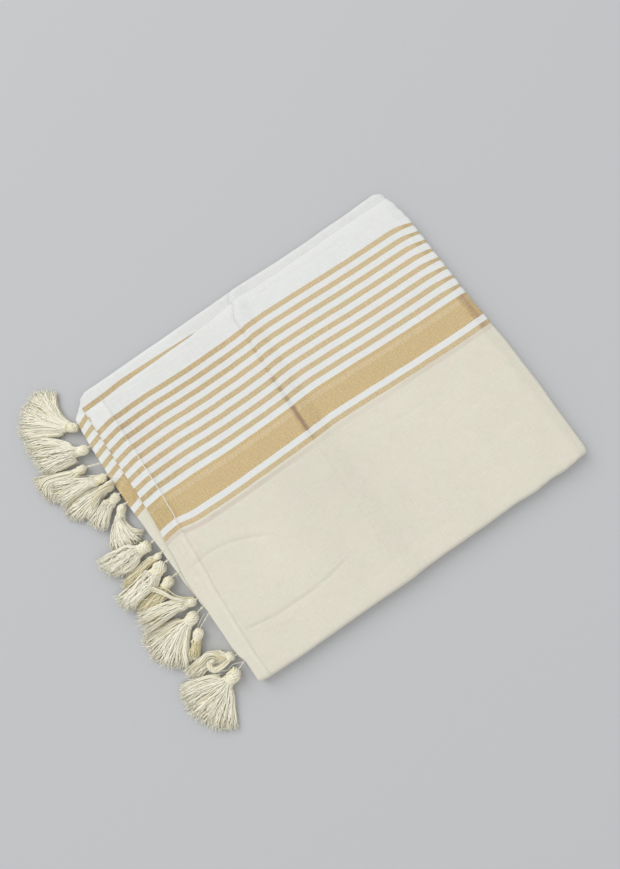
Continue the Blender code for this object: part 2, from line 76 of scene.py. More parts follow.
# Cloth
CLOTH = 0.00038
TOP_HEM_RADIUS = 0.00060
INNER_HEM_RADIUS = 0.00042
SELVEDGE_SINK = 0.0008
TOP_SEED = 3.1
NEAR_FOLD_SQUARE = 0.45
RIGHT_FOLD_SQUARE = 0.7
CORNER_ROUND = 0.03
STITCH_DIP = 0.00025
HEM_PUCKER = 0.00016
EDGE_WAVE = 0.00035
FAR_WAVE = 0.0003
STRIPE_RIB = 0.0003
SECOND_HEM_COLUMNS = 5
THIRD_HEM_COLUMNS = 12

# Cross crease. Its tables and those of the outlines and stripes are in millimetres
CREASE_X = -0.0125
CREASE_LINE = (
    # y, x
    (-146, -15.2), (50, -12.5), (108, -11.3), (124, -10.6), (130, -7.2), (134.5, -5.2), (139, -6),
    (142.5, -4.5), (149, -0.5),
)
CREASE_FORM = (
    # height, place to the right of the line, half width
    (-0.5, 0, 3.2), (1.5, 6.5, 10.5), (0.4, -9, 12),
)
CREASE_NICK = 0.0009

# How far in from an edge the layers are pulled to it
LEFT_REACH = 0.026
RIGHT_REACH = 0.030
LONG_REACH = 0.040

# Outlines of the layers, as the part states them
TOP_LEFT_EDGE = (
    # y, x
    (135, -165), (110, -166), (60, -165), (20, -164.5), (-15, -166), (-46, -168), (-75, -166),
    (-108, -164.8), (-117, -163.6), (-126, -160.8), (-146, -160.3),
)
HEM_INNER_EDGE = (
    # y, x
    (137, -147), (70, -146.2), (35, -145.8), (12, -146.4), (-4, -148.4), (-20, -149.2), (-48, -149.6),
    (-60, -150.9), (-120, -151.2), (-146, -150),
)
TOP_RIGHT_EDGE = (
    # y, x
    (137, 163), (125, 165), (110, 166.8), (20, 166.4), (-10, 167.4), (-30, 168), (-70, 167.6), (-105, 166),
    (-138, 165.2), (-146, 164),
)
TOP_SELVEDGE = (
    # x, y
    (-166, 130), (-145, 130.6), (-125, 132), (-110, 132.5), (-55, 133.4), (-38, 134.8), (-5, 138.2),
    (50, 137), (110, 137.6), (166, 136.8),
)
NEAR_FOLD_EDGE = (
    # x, y
    (-166, -144.8), (-155, -145.6), (-140, -146.1), (-120, -146.6), (-75, -146.2), (-10, -146.2),
    (0, -145.5), (5, -145.1), (25, -144.7), (60, -144.5), (95, -144.1), (102, -144.7), (112, -145),
    (120, -144.4), (128, -144), (140, -144.7), (150, -143.8), (158, -142.8), (166, -142.5),
)
SECOND_LEFT_EDGE = (
    # y, x
    (149, -154), (146, -159.6), (142.5, -165), (138, -167.2), (120, -166.8), (0, -164), (-137, -158),
)
SECOND_RIGHT_EDGE = (
    # y, x
    (149, 154.5), (146.2, 155.6), (144.8, 157.5), (143.5, 160), (138.5, 161.2), (134.5, 160), (-137, 159),
)
SECOND_FAR_EDGE = (
    # x, y
    (-166, 148.4), (-110, 148.4), (2, 149.2), (60, 147.4), (166, 148),
)
THIRD_LEFT_EDGE = (
    # y, x
    (140, -167.5), (136, -172.2), (131.5, -178.5), (115, -179.5), (70, -179.5), (40, -177.8), (14, -175.5),
    (-15, -173.2), (-40, -171.3), (-60, -169), (-90, -164), (-137, -159),
)
THIRD_DROOP = 0.0022
THIRD_DROOP_START_X = -0.1655
THIRD_DROOP_REACH = 0.013

# Path of the first border stripe's middle on each layer, and how the others stray from it
STRIPE_ONE = 0.02565
TOP_STRIPE = (
    # x, y
    (-168, 110.6), (-140, 110.4), (-130, 110.8), (-110, 110.9), (-90, 109.75), (-70, 109.2), (-40, 109.2),
    (-30, 109.35), (-20, 109.6), (-15, 109.9), (-10, 110.1), (-5, 110.4), (0, 110.9), (5, 111.4),
    (10, 111.5), (15, 111.4), (20, 111.2), (30, 110.8), (45, 110.3), (70, 109.05), (100, 108),
    (130, 107.45), (170, 107.45),
)
NEAR_STRAY = (
    # x, how far the stripes at y = 0 lie from that path
    (-168, 0), (-145, 0), (-138, -0.8), (-130, -1.3), (-110, -1.8), (-90, -0.7), (-70, 0.2), (-40, 0.8),
    (-20, 0.8), (0, 0.1), (20, 0.2), (100, 0.2), (130, -0.2), (170, -0.2),
)
NEAR_STRAY_REACH = 0.045
RIGHT_BEND = (
    # x, how far the far stripes bend at the right-hand fold
    (135, 0), (145, -0.2), (150, -0.8), (155, -1.6), (160, -2.8), (163, -3.8), (167, -5),
)
RIGHT_BEND_REACH = 0.105
FAR_BEND = (
    # x, how far the far stripes bend near the hem
    (-168, -3), (-163, -2), (-155, -0.9), (-149, 0), (-138, 0),
)
NEAR_BEND = (
    # x, how far the near stripes bend near the hem
    (-168, -1.6), (-165, -0.4), (-161, 0.6), (-155, 1.6), (-148, 2.1), (-140, 0.9), (-130, 0),
)
SECOND_STRIPE = (
    # x, y
    (-168, 133), (-160, 133.4), (-145, 133.8), (-130, 135.1), (-118, 135.2), (-85, 134.2), (-55, 132.8),
    (-40, 131.8), (0, 131),
)
THIRD_STRIPE = 3
THIRD_STRIPE_Y = 0.1265
THIRD_STRETCH = 0.970
THIRD_FIRST = 0.0430

# Stripes of the border: each colour starts this far from the selvedge, in millimetres
FIRST_STRIPE = 23.4
STRIPE_PITCH = 10.45
STRIPE_WIDTH = 4.8
BORDER = (
    (103.0, "white"), (107.0, "wide"), (110.1, "pale"), (114.8, "wide"), (132.3, "white"), (137.8, "thin"),
    (142.3, "cream"),
)
BORDER_LENGTH = 42.0
MAUVE = (0.715, 0.648, 0.545, 1)
MAUVE_PLACE = 0.1462
MAUVE_SHIFT = 0.0019
MAUVE_FADE = (0.0013, 0.0026)
BORDER_WAVER = 0.00012
WEAVE_PITCH = 0.0008
WORN_AND_SHADED_SHARE = 0.72
# Darker golds for gold yarns that are scuffed and painted with shade
DEEP_GOLD = (0.430, 0.300, 0.105, 1)
WORN_AND_SHADED_GOLD = (0.335, 0.190, 0.165, 1)
# Tassel yarn colour, and the warm tan that paints the shade between and under the yarns
TASSEL_TONES = (0.985, 0.948, 0.790, 1), (0.86, 0.760, 0.45, 1)
THREAD_TONES = (0.93, 0.90, 0.84, 1), (0.80, 0.74, 0.62, 1)
TONES = {
    "white": (0.850, 0.858, 0.828, 1),
    "cream": (0.813, 0.775, 0.650, 1),
    "thin": (0.685, 0.545, 0.325, 1),
    "wide": (0.675, 0.512, 0.268, 1),
    "pale": (0.715, 0.564, 0.330, 1),
}

# How much darker the gold yarns are, from 0 to 1, and the painted light and shade of the cream, by places in
# millimetres
# Along the cross crease: partly scuffed gold, partly painted shade of the crease
CREASE_WEAR_AND_SHADE = ((30, 0.95), (36, 0.62), (59, 0.62), (65, 0.35), (92, 0.35), (98, 0.20))
# At the right-hand fold: painted shade
FOLD_SHADE = ((26, 0.66), (30, 0.42))
HEM_GOLD_DARKENING = ((-158, 0.5), (-145, 1.0))
# Darker gold along the second layer, by place
SECOND_GOLD_DARKENING = ((-130, 0.38), (-90, 0.10), (-70, 0.20), (-52, 0.60))
# The third layer's gold is a little darker all over
THIRD_GOLD_DARKENING = 0.25
CREAM_SHADE = ((-120, 0.0), (-95, 0.014), (-50, -0.036), (0, -0.018), (40, 0.0))

# Creases of the top layer
SOFT_CREASES = (
    # points along it, depth, half width, how much painted shade darkens its valley, where a negative value
    # paints light
    (((-164, -38), (-150, -36), (-140, -34.7), (-130, -35.6), (-120, -38), (-110, -41), (-100, -45),
      (-90, -50.5), (-80, -57)), 0.60, 2.6, 0.055),
    (((-151, -103.5), (-140, -105), (-130, -107), (-120, -108.2), (-105, -108.2), (-90, -108.5), (-80, -108),
      (-68, -107), (-54, -104.5), (-40, -101.5)), 0.75, 2.0, 0.082),
    (((-134, -113.5), (-110, -116), (-86, -113.5)), -0.30, 2.8, -0.010),
    (((-69, -58), (-60, -58.8), (-50, -59.5)), 0.30, 2.6, 0.020),
    (((22, -27), (45, -31), (64, -33.5), (90, -32.5)), 0.25, 3.2, 0.014),
    (((34, -12), (48, -20), (62, -29)), 0.22, 3.0, 0.010),
    (((52, -100), (92, -93), (150, -83)), 0.25, 6.0, 0.006),
    (((-46, -128), (5, -124), (62, -125)), 0.22, 5.0, 0.006),
    (((-134, 128), (-110, 127.2), (-75, 127.8), (-36, 126.5)), 0.20, 2.6, 0.012),
    (((14, 130.5), (55, 128), (118, 127.5)), 0.20, 3.0, 0.010),
)

# Tassels in millimetres: each one's place at the hem, its head, and guide strands of its skirt
HEAD_FLOOR_GAP = 0.0004
LAY_OVER = 0.0052
TASSELS = (
    # hem y, head x, head y, head radius, lies over others,
    # strands from one side to the other, each as x and y of three points
    (127.5, -184.5, 127.5, 5.3, 0, (
        (-187, 143, -187, 154, -182, 166), (-192, 145, -194, 160, -197, 177),
        (-196, 141, -205, 155, -215, 172), (-199, 135, -212, 145, -228, 155),
        (-199, 128.5, -213, 136, -230, 144))),
    (103.5, -187, 104.6, 5.4, 1, (
        (-195, 119, -209, 132.5, -228, 142), (-198, 113, -213, 123, -231, 131),
        (-199, 108, -213, 113, -228, 119), (-198, 103, -212, 106, -228, 108),
        (-197, 99, -207, 100, -218, 102))),
    (85.5, -197.4, 91, 4.6, 0, (
        (-206, 96, -222, 104, -238, 110), (-207, 93.5, -226, 101, -240, 100), (-208, 91, -227, 97, -238, 88),
        (-209, 89, -224, 93, -233, 80), (-208, 87, -220, 90, -227, 78))),
    (73.5, -186, 73.6, 4.7, 1, (
        (-195, 80, -208, 89, -223, 97), (-197, 78, -212, 84, -229, 90), (-198, 75, -212, 76.5, -229, 78),
        (-198, 72, -212, 72.5, -227, 70))),
    (64, -184.4, 63.9, 5.2, 0, (
        (-196, 70.5, -212, 73, -229, 73), (-197, 66, -213, 65, -230, 64), (-196, 63, -211, 60, -225, 56),
        (-194, 61, -205, 57, -214, 52), (-191, 60, -200, 56, -207, 50))),
    (52.5, -184.8, 52, 4.7, 1, (
        (-195, 54, -204, 50, -215, 46), (-194, 51, -203, 45.5, -212, 40), (-192, 48, -200, 42, -207, 35),
        (-190, 46, -196, 41, -203, 33))),
    (42, -185.2, 40.4, 4.5, 0, (
        (-196, 36, -206, 26, -213, 12), (-194, 34, -201, 22, -204, 9), (-192, 33, -195, 20, -194, 8),
        (-190, 32, -190, 20, -185, 9), (-188, 30, -185, 21, -178, 14))),
    (1, -184.6, 1, 5.5, 1, (
        (-196, 11, -210, 13.5, -224, 14.5), (-198, 6.5, -212, 8, -226, 8.5), (-199, 1.5, -212, 1.5, -224, 1),
        (-198, -4, -208, -4.5, -218, -5), (-195, -7, -203, -9, -210, -8))),
    (-11.2, -179.7, -11.3, 3.3, 0, (
        (-188, -8.5, -201, -9, -215, -10), (-190, -11.5, -204, -13, -219, -15),
        (-189, -14.5, -203, -17, -219, -19))),
    (-20, -183.6, -21, 5.6, 1, (
        (-194, -16.5, -208, -19.5, -228, -20.5), (-196, -20.5, -210, -23.5, -227, -25),
        (-197, -25.5, -211, -28, -228, -30), (-196, -30, -210, -31.5, -224, -35),
        (-194, -33.5, -206, -34, -219, -37.5))),
    (-33.5, -183.2, -35, 5.1, 0, (
        (-194, -33, -206, -34, -216, -37), (-194, -37, -206, -39, -220, -41),
        (-194, -41, -206, -44, -218, -46), (-192, -44, -203, -48, -214, -50))),
    (-60.5, -175.2, -59.6, 4.9, 1, (
        (-184, -51, -199, -46, -216, -43), (-186, -54, -202, -50, -220, -47),
        (-187, -57, -203, -55.5, -222, -54), (-187, -60.5, -205, -61, -223, -61))),
    (-69, -181.6, -71.2, 5.4, 0, (
        (-194, -64, -210, -60, -226, -58), (-195, -69, -211, -69, -229, -71),
        (-196, -73, -212, -78, -228, -84), (-195, -77, -208, -86, -219, -96),
        (-192, -79, -201, -90, -208, -102), (-190, -80, -197, -89, -200, -99))),
    (-76.2, -184.6, -85, 4.8, 0, (
        (-192.5, -88, -197, -92, -202, -96.5), (-190, -90, -194, -95, -198.5, -100),
        (-186.5, -91, -190, -96, -194, -100.5))),
    (-116.5, -172.4, -114.4, 4.5, 0, (
        (-178, -105, -190, -101.5, -209, -103), (-180, -108, -191, -104, -210, -107),
        (-181, -111, -192, -109, -206, -111), (-184, -115, -193, -113, -201, -115))),
    (-123.5, -177.4, -128.6, 6, 0, (
        (-190, -120, -204, -114, -219, -111), (-192, -125, -207, -121, -224, -119),
        (-193, -130, -208, -131, -225, -132), (-192, -135, -206, -141, -220, -146),
        (-189, -139, -200, -149, -210, -158), (-185, -140, -191, -151, -197, -164))),
)
LOOSE_LOCKS = (
    # tassel, yarns, radius, twist, points
    (5, 44, 2.5, 4.0, ((-178, 64.5, 9), (-184, 63.3, 11.5), (-194.5, 61, 11.5), (-202, 56, 9.5),
                       (-210.5, 51, 6))),
    (12, 12, 2.2, 1.4, ((-174, -58, 8), (-179, -53.8, 10.5), (-184.4, -48, 12), (-188.5, -40.3, 12),
                        (-195.3, -33, 9))),
    (15, 40, 2.1, 1.6, ((-171, -115.0, 6.5), (-176, -117.0, 8.5), (-182, -117.5, 9), (-187.3, -116.6, 9.5),
                        (-189.3, -112.6, 9.5), (-187.4, -109.3, 9), (-183.8, -108.8, 8))),
    (15, 56, 2.6, 1.2, ((-175, -113.5, 7), (-177.8, -110.5, 8.5), (-180.8, -105.6, 9.5), (-186, -103.4, 10),
                        (-191.5, -105.2, 8.5), (-198.5, -106.2, 6), (-206.5, -107.8, 4))),
)
HEAD_FORMS = (
    # knob and neck as shares of the radius, slant of the wound bands, yarns in each, how much painted shade
    # darkens its yarns, most for tassels tucked under others
    (0.80, 0.86, 38, 2, 0.00), (0.86, 0.74, 62, 2, 0.00), (0.90, 0.72, 68, 3, 0.20),
    (0.86, 0.84, 35, 2, 0.00), (0.88, 0.76, 55, 2, 0.00), (0.90, 0.84, 42, 2, 0.00),
    (0.88, 0.70, 58, 3, 0.00), (0.94, 0.86, 30, 2, 0.00), (0.92, 0.72, 60, 2, 0.70),
    (0.98, 0.94, 52, 3, 0.00), (0.88, 0.76, 64, 2, 0.70), (0.88, 0.78, 50, 2, 0.20),
    (0.94, 0.80, 60, 3, 0.00), (0.90, 0.66, 74, 4, 0.90), (0.88, 0.82, 44, 2, 0.00),
    (0.95, 0.78, 66, 4, 0.00),
)


# Camera

CAMERA_PLACE = (-0.0188, -0.1030, 0.5531)
CAMERA_TURN = (9.143, 5.634, -34.12)
SENSOR = 36
PICTURE_HEIGHT = 869
FOCAL_PIXELS = 650


def make_camera():
    data = bpy.data.cameras.new("camera")
    data.sensor_width = SENSOR
    data.lens = FOCAL_PIXELS / PICTURE_HEIGHT * SENSOR
    data.clip_start = 0.01
    data.clip_end = 50
    camera = bpy.data.objects.new("camera", data)
    bpy.context.scene.collection.objects.link(camera)
    camera.location = CAMERA_PLACE
    camera.rotation_euler = [math.radians(turn) for turn in CAMERA_TURN]
    bpy.context.scene.camera = camera


# Materials

class Tree:
    """A material's node tree, with short calls for its nodes."""

    def __init__(self, name):
        self.material = bpy.data.materials.new(name)
        self.material.use_nodes = True
        self.tree = self.material.node_tree
        self.shader = self.tree.nodes["Principled BSDF"]

    def node(self, kind, settings=None, **inputs):
        """A node, its settings, and its inputs by name or as i and a number."""
        made = self.tree.nodes.new("ShaderNode" + kind)
        for key, value in (settings or {}).items():
            setattr(made, key, value)
        for key, value in inputs.items():
            self.feed(made.inputs[int(key[1:]) if key[0] == "i" and key[1:].isdigit() else key], value)
        return made

    def feed(self, socket, value):
        if isinstance(value, bpy.types.NodeSocket):
            self.tree.links.new(value, socket)
        else:
            socket.default_value = value

    def attribute(self, name):
        return self.node("Attribute", {"attribute_name": name}).outputs["Vector"]

    def parts(self, vector):
        return self.node("SeparateXYZ", Vector=vector).outputs

    def maths(self, operation, first, second=0.0):
        return self.node("Math", {"operation": operation}, i0=first, i1=second).outputs[0]

    def plus(self, first, second):
        return self.maths("ADD", first, second)

    def minus(self, first, second):
        return self.maths("SUBTRACT", first, second)

    def times(self, first, second):
        return self.maths("MULTIPLY", first, second)

    def over(self, first, second):
        return self.maths("DIVIDE", first, second)

    def noise(self, vector, scale, detail=2.0, roughness=0.5):
        place = self.node("VectorMath", {"operation": "MULTIPLY"}, i0=vector, i1=scale).outputs[0]
        made = self.node("TexNoise", Vector=place, Scale=1.0, Detail=detail, Roughness=roughness)
        return made.outputs["Fac"]

    def remap(self, value, low, high, new_low=0.0, new_high=1.0):
        return self.node("MapRange", i0=value, i1=low, i2=high, i3=new_low, i4=new_high).outputs[0]

    def mix(self, kind, share, first, second):
        settings = {"data_type": "RGBA", "blend_type": kind}
        return self.node("Mix", settings, i0=share, i6=first, i7=second).outputs[2]

    def bump(self, height, strength, distance):
        return self.node("Bump", Height=height, Strength=strength, Distance=distance).outputs["Normal"]

    def set(self, **values):
        for key, value in values.items():
            self.feed(self.shader.inputs[key.replace("_", " ")], value)


def stepped(t, value, start, length, stops):
    """Colour that changes in steps: each of the stops is a value and the tone from there on."""
    made = t.node("ValToRGB", Fac=t.over(t.minus(value, start), length))
    elements = made.color_ramp.elements
    made.color_ramp.interpolation = "CONSTANT"
    while len(elements) < len(stops):
        elements.new(0.5)
    for element, (place, tone) in zip(elements, stops):
        element.position = (place - start) / length
        element.color = TONES[tone]
    return made.outputs["Color"]


def border_colour(t, across):
    """Colour of the woven border at a distance from the selvedge."""
    place = t.over(across, MM)
    past = t.minus(place, FIRST_STRIPE)
    in_pitch = t.maths("FRACT", t.over(past, STRIPE_PITCH))
    stripes = stepped(t, in_pitch, 0.0, 1.0, ((0.0, "thin"), (STRIPE_WIDTH / STRIPE_PITCH, "white")))
    stripes = t.mix("MIX", t.maths("LESS_THAN", past, 0.0), stripes, TONES["white"])
    border_start = BORDER[0][0]
    border = stepped(t, place, border_start, BORDER_LENGTH, BORDER)
    return t.mix("MIX", t.maths("GREATER_THAN", place, border_start), stripes, border)


def woven_cotton():
    """Plain weave with slubs and specks, painted glints on the gold, the dyed and gold border, and darker
    gold yarns where they are scuffed and where shade is painted.
    """
    t = Tree("woven_cotton")
    cloth = t.attribute("cloth")
    from_selvedge, along_cloth, wear_and_shade = t.parts(cloth)
    # Cloth marks: light and shade painted into the colour, the shift of the faint band at the hem, and how
    # strong that band is
    lightness, hem, mauve_share = t.parts(t.attribute("painted_light_hem_band"))
    waver = t.noise(cloth, (20, 90, 1))
    across = t.plus(from_selvedge, t.remap(waver, 0.3, 0.7, -BORDER_WAVER, BORDER_WAVER))
    colour = border_colour(t, across)

    from_mauve = t.maths("ABSOLUTE", t.minus(t.plus(across, t.times(hem, MAUVE_SHIFT)), MAUVE_PLACE))
    mauve = t.remap(from_mauve, *MAUVE_FADE, 1.0, 0.0)
    mauve = t.times(mauve, t.remap(waver, 0.35, 0.65, 0.8, 1.0))
    colour = t.mix("MIX", t.times(mauve, mauve_share), colour, MAUVE)

    saturation = t.node("SeparateColor", {"mode": "HSV"}, Color=colour).outputs[1]
    gold = t.remap(saturation, 0.25, 0.45)
    # Darker gold where it is scuffed and where shade is painted
    worn_and_shaded = t.mix("MIX", t.remap(wear_and_shade, 0.35, 0.75), DEEP_GOLD, WORN_AND_SHADED_GOLD)
    colour = t.mix("MIX", t.times(t.times(wear_and_shade, gold), WORN_AND_SHADED_SHARE), colour, worn_and_shaded)

    slub_across, slub_along = t.noise(cloth, (1500, 110, 1)), t.noise(cloth, (110, 1500, 1))
    speck = t.noise(cloth, (900, 900, 1), 2.0, 0.6)
    mottle, blotch = t.noise(cloth, (26, 26, 1), 3.0), t.noise(cloth, (45, 45, 1), 3.0)
    grain = t.plus(t.plus(slub_across, slub_along), speck)
    # On the gold: painted glints of its metal yarns, mixed with their slubs
    sparkle = t.plus(t.times(speck, 2.0), slub_along)
    dull, bright = t.remap(grain, 1.1, 1.9, 0.940, 1.055), t.remap(sparkle, 1.0, 2.0, 0.79, 1.19)
    level = t.node("Mix", {"data_type": "FLOAT"}, i0=gold, i2=dull, i3=bright).outputs[0]
    level = t.times(level, t.remap(mottle, 0.3, 0.7, 0.985, 1.01))
    # The same marks darken the whole cloth a little too
    level = t.times(level, t.remap(wear_and_shade, 0.0, 1.0, 1.0, 0.92))
    # Painted light and shade of the cloth
    level = t.times(level, t.plus(lightness, 1.0))
    rosy = t.times(level, t.remap(blotch, 0.3, 0.7, 0.988, 1.014))
    pale = t.times(level, t.remap(blotch, 0.3, 0.7, 1.007, 0.992))
    tint = t.node("CombineColor", Red=rosy, Green=pale, Blue=level).outputs[0]
    colour = t.mix("MULTIPLY", 1.0, colour, tint)

    turn = TURN / WEAVE_PITCH
    warp = t.maths("SINE", t.times(from_selvedge, turn))
    weft = t.maths("SINE", t.times(along_cloth, turn))
    height = t.plus(t.times(warp, weft), t.times(grain, 1.5))
    t.set(Base_Color=colour, Roughness=t.remap(gold, 0.0, 1.0, 0.92, 0.62), Sheen_Weight=0.15,
          Sheen_Roughness=0.5, Specular_IOR_Level=0.25, Normal=t.bump(height, 0.55, 0.00010))
    return t.material


def yarn_cotton(name, colour, dark, pitch, relief):
    """Twisted cotton yarn: a spiral of plies, and a tone for each yarn between its colour and a darker one,
    partly random and partly painted shade.
    """
    t = Tree(name)
    length, round_it, own_tone_and_shade = t.parts(t.attribute("yarn"))
    spiral = t.plus(t.times(length, TURN / pitch), round_it)
    plies = t.maths("SINE", t.times(spiral, 2.0))
    place = t.node("TexCoord").outputs["Object"]
    fuzz, patch = t.noise(place, (900, 900, 900)), t.noise(place, (60, 60, 60))
    tone = t.plus(t.times(own_tone_and_shade, 0.7), t.times(patch, 0.3))
    tone = t.plus(tone, t.times(fuzz, 0.25))
    mixed = t.mix("MIX", t.remap(tone, 0.18, 0.72), dark, colour)
    height = t.plus(t.times(plies, 0.5), fuzz)
    t.set(Base_Color=mixed, Roughness=0.9, Sheen_Weight=0.25, Sheen_Roughness=0.4, Specular_IOR_Level=0.2,
          Normal=t.bump(height, relief, 0.00015))
    return t.material


# Meshes

def link_mesh(name, points, faces, material, attributes):
    mesh = bpy.data.meshes.new(name)
    mesh.from_pydata(np.asarray(points).reshape(-1, 3).tolist(), [], faces)
    for key, values in attributes.items():
        made = mesh.attributes.new(key, "FLOAT_VECTOR", "POINT")
        made.data.foreach_set("vector", np.asarray(values, np.float32).ravel())
    mesh.materials.append(material)
    mesh.shade_smooth()
    mesh.update()
    made = bpy.data.objects.new(name, mesh)
    bpy.context.scene.collection.objects.link(made)
    return made


def grid_faces(rows, cols):
    number = np.arange(rows * cols).reshape(rows, cols)
    quads = np.stack([number[:-1, :-1], number[1:, :-1], number[1:, 1:], number[:-1, 1:]], axis=-1)
    return quads.reshape(-1, 4).tolist()


def ring_faces(rings, sides, start=0):
    """Quads between the rings of a closed loft, and a cap at each end."""
    number = np.arange(rings * sides).reshape(rings, sides) + start
    after = np.roll(number, -1, axis=1)
    quads = np.stack([number[:-1], after[:-1], after[1:], number[1:]], axis=-1).reshape(-1, 4)
    return quads.tolist() + [number[0][::-1].tolist(), number[-1].tolist()]


def unit(vectors):
    return vectors / np.maximum(np.linalg.norm(vectors, axis=-1, keepdims=True), 1e-12)


def xyz(*values):
    return np.stack(np.broadcast_arrays(*values), axis=-1)


def around(side, up, turn):
    """Directions at some turns from side to up."""
    return side * np.cos(turn)[..., None] + up * np.sin(turn)[..., None]


def grid_normals(points):
    return unit(np.cross(np.gradient(points, axis=0), np.gradient(points, axis=1)))


def with_turned_edge(points, marks, radius, under):
    """Adds a turned hem before the first column: a fold of the radius, then a ply of some columns beneath."""
    normals = grid_normals(points)
    out = unit(points[:, :1] - points[:, 1:2])
    beneath = (points - normals * 2 * radius)[:, under:0:-1]
    turns = np.radians([180, 150, 120, 90, 60, 30])[None, :, None]
    arc = points[:, :1] + out * radius * np.sin(turns) - normals[:, :1] * radius * (1 - np.cos(turns))
    arc_marks = np.repeat(marks[:, :1], arc.shape[1], axis=1)
    points = np.concatenate([beneath, arc, points], axis=1)
    return points, np.concatenate([marks[:, under:0:-1], arc_marks, marks], axis=1)


def make_cloth(name, points, cloth, painted_light_hem_band, radius, under, material):
    """A layer with its turned hem, as one thin piece."""
    points, marks = with_turned_edge(points, np.concatenate([cloth, painted_light_hem_band], axis=-1), radius, under)
    marks = {"cloth": marks[..., :3], "painted_light_hem_band": marks[..., 3:]}
    piece = link_mesh(name, points, grid_faces(*points.shape[:2]), material, marks)
    wall = piece.modifiers.new("Wall", "SOLIDIFY")
    wall.thickness = CLOTH
    wall.offset = -1.0
    wall.use_rim = True
    return piece


def follow(table, at):
    """Smooth value of a two-column table in millimetres, as the part reads it."""
    rows = np.array(sorted(table)) * MM
    at = np.clip(at, rows[0, 0], rows[-1, 0])
    i = np.clip(np.searchsorted(rows[:, 0], at, side="right") - 1, 0, len(rows) - 2)
    share = (at - rows[i, 0]) / (rows[i + 1, 0] - rows[i, 0])
    share = share * share * (3 - 2 * share)
    return rows[i, 1] + (rows[i + 1, 1] - rows[i, 1]) * share


def path(table, at):
    """Value of a table in millimetres along a soft path through its rows."""
    place, value = (np.array(sorted(table)) * MM).T
    return sum(np.interp(at + shift * MM, place, value) for shift in (-3, -1.5, 0, 1.5, 3)) / 5


def listed(table, at):
    """Value at a place, by a table with places in millimetres."""
    return np.interp(at, *(np.array(table) * (MM, 1)).T)


def bump(offset, half):
    """Rounded hump of height 1 where the offset is 0, down to 0 at half its width."""
    share = np.minimum(np.abs(offset) / half, 1.0)
    return (1 - share * share) ** 2


def ridge(offset, width):
    """Soft line of height 1 where the offset is 0."""
    return np.exp(-(offset / width) ** 2)


def slope(value, start, width):
    """Share that grows from 0 at the start to 1 a width further on, the other way if that is negative."""
    return np.clip((value - start) / width, 0, 1)


def before(offset, width):
    """1 where the offset is negative and 0 where it isn't, with a soft step of a width."""
    return 0.5 - 0.5 * np.tanh(offset / width)


def pull(place, edge, reach):
    """Share that fades from 1 at an edge to 0 a reach away."""
    return np.maximum(0.0, 1 - np.abs(place - edge) / reach)


def drawn(table, at, place, edge, reach):
    """Shift that draws a straight edge to its outline."""
    return (follow(table, at) - edge) * pull(place, edge, reach)


def waves(x, y, scale_x, scale_y, seed):
    """Smooth noise over the cloth, from about -1 to 1."""
    flat = np.stack([np.ravel(x) * scale_x, np.ravel(y) * scale_y], axis=1)
    values = [noise.noise(Vector((a, b, seed))) for a, b in flat]
    return np.array(values).reshape(np.shape(x)) * 1.6


def crease_line(y):
    return follow(CREASE_LINE, y)


def crease_strength(y):
    """How deep the cross crease is: less on the near half."""
    return 0.40 + 0.60 / (1 + np.exp(-(y + 0.005) / 0.016))


def relief(x, y):
    """Cross crease and slow swell: the part's form with a sharper valley."""
    offset = x - crease_line(y)
    form = -CREASE_NICK * np.exp(-np.abs(offset) / CREASE_NICK)
    for height, place, half in CREASE_FORM:
        form += height * MM * bump(offset - place * MM, half * MM)
    swell = 0.00025 * np.sin(21 * x + 9 * y) * np.cos(17 * y - 0.6)
    return crease_strength(y) * form + swell


def soft_creases(x, y):
    """Height of the listed creases, and how much they darken."""
    height, shade = np.zeros(np.shape(x)), np.zeros(np.shape(x))
    for points, depth, half, dark in SOFT_CREASES:
        share = slope(x, points[0][0] * MM, 0.010) * slope(x, points[-1][0] * MM, -0.018)
        offset = y - path(points, x)
        height -= depth * MM * share * bump(offset, half * MM)
        # Painted shade in the valleys, painted light where the value is negative
        shade += dark * share * bump(offset - 0.0004, half * MM * 0.6)
    return height, shade


def fine_relief(x, y, seed):
    return 0.00010 * waves(x, y, 28, 40, seed) + 0.00005 * waves(x, y, 90, 130, seed + 7)


def layer_place(x, y, left_edge, right_edge, far_edge, far_y):
    """Place on a layer of a point of the straight packet."""
    left = drawn(left_edge, y, x, -PACKET_X, LEFT_REACH)
    right = drawn(right_edge, y, x, PACKET_X, RIGHT_REACH)
    middle = drawn(CREASE_LINE, y, x, CREASE_X, LONG_REACH)
    return x + left + right + middle, y + drawn(far_edge, x, y, far_y, LONG_REACH)


def flatness(turn):
    return np.cos(np.minimum(turn, math.pi / 2))


def along(start, end, step):
    return np.linspace(start, end, max(2, round(abs(end - start) / step) + 1))


def places(*runs):
    """Places of a grid's rows or columns: runs of a start, an end and a step."""
    return np.concatenate([along(*run) for run in runs])


def with_turns(flat, turn, steps):
    """A flat run followed by an arc at its end: places and turns."""
    turns = np.concatenate([np.zeros(len(flat)), np.linspace(turn / steps, turn, steps)])
    return np.concatenate([flat, np.full(steps, flat[-1])]), turns


def border_cloth(x, y, stripe_y):
    """Cloth coordinates: distance from the selvedge, distance along the cloth, and how much darker the gold
    is.
    """
    return xyz(STRIPE_ONE + stripe_y - y, x, 0.0)


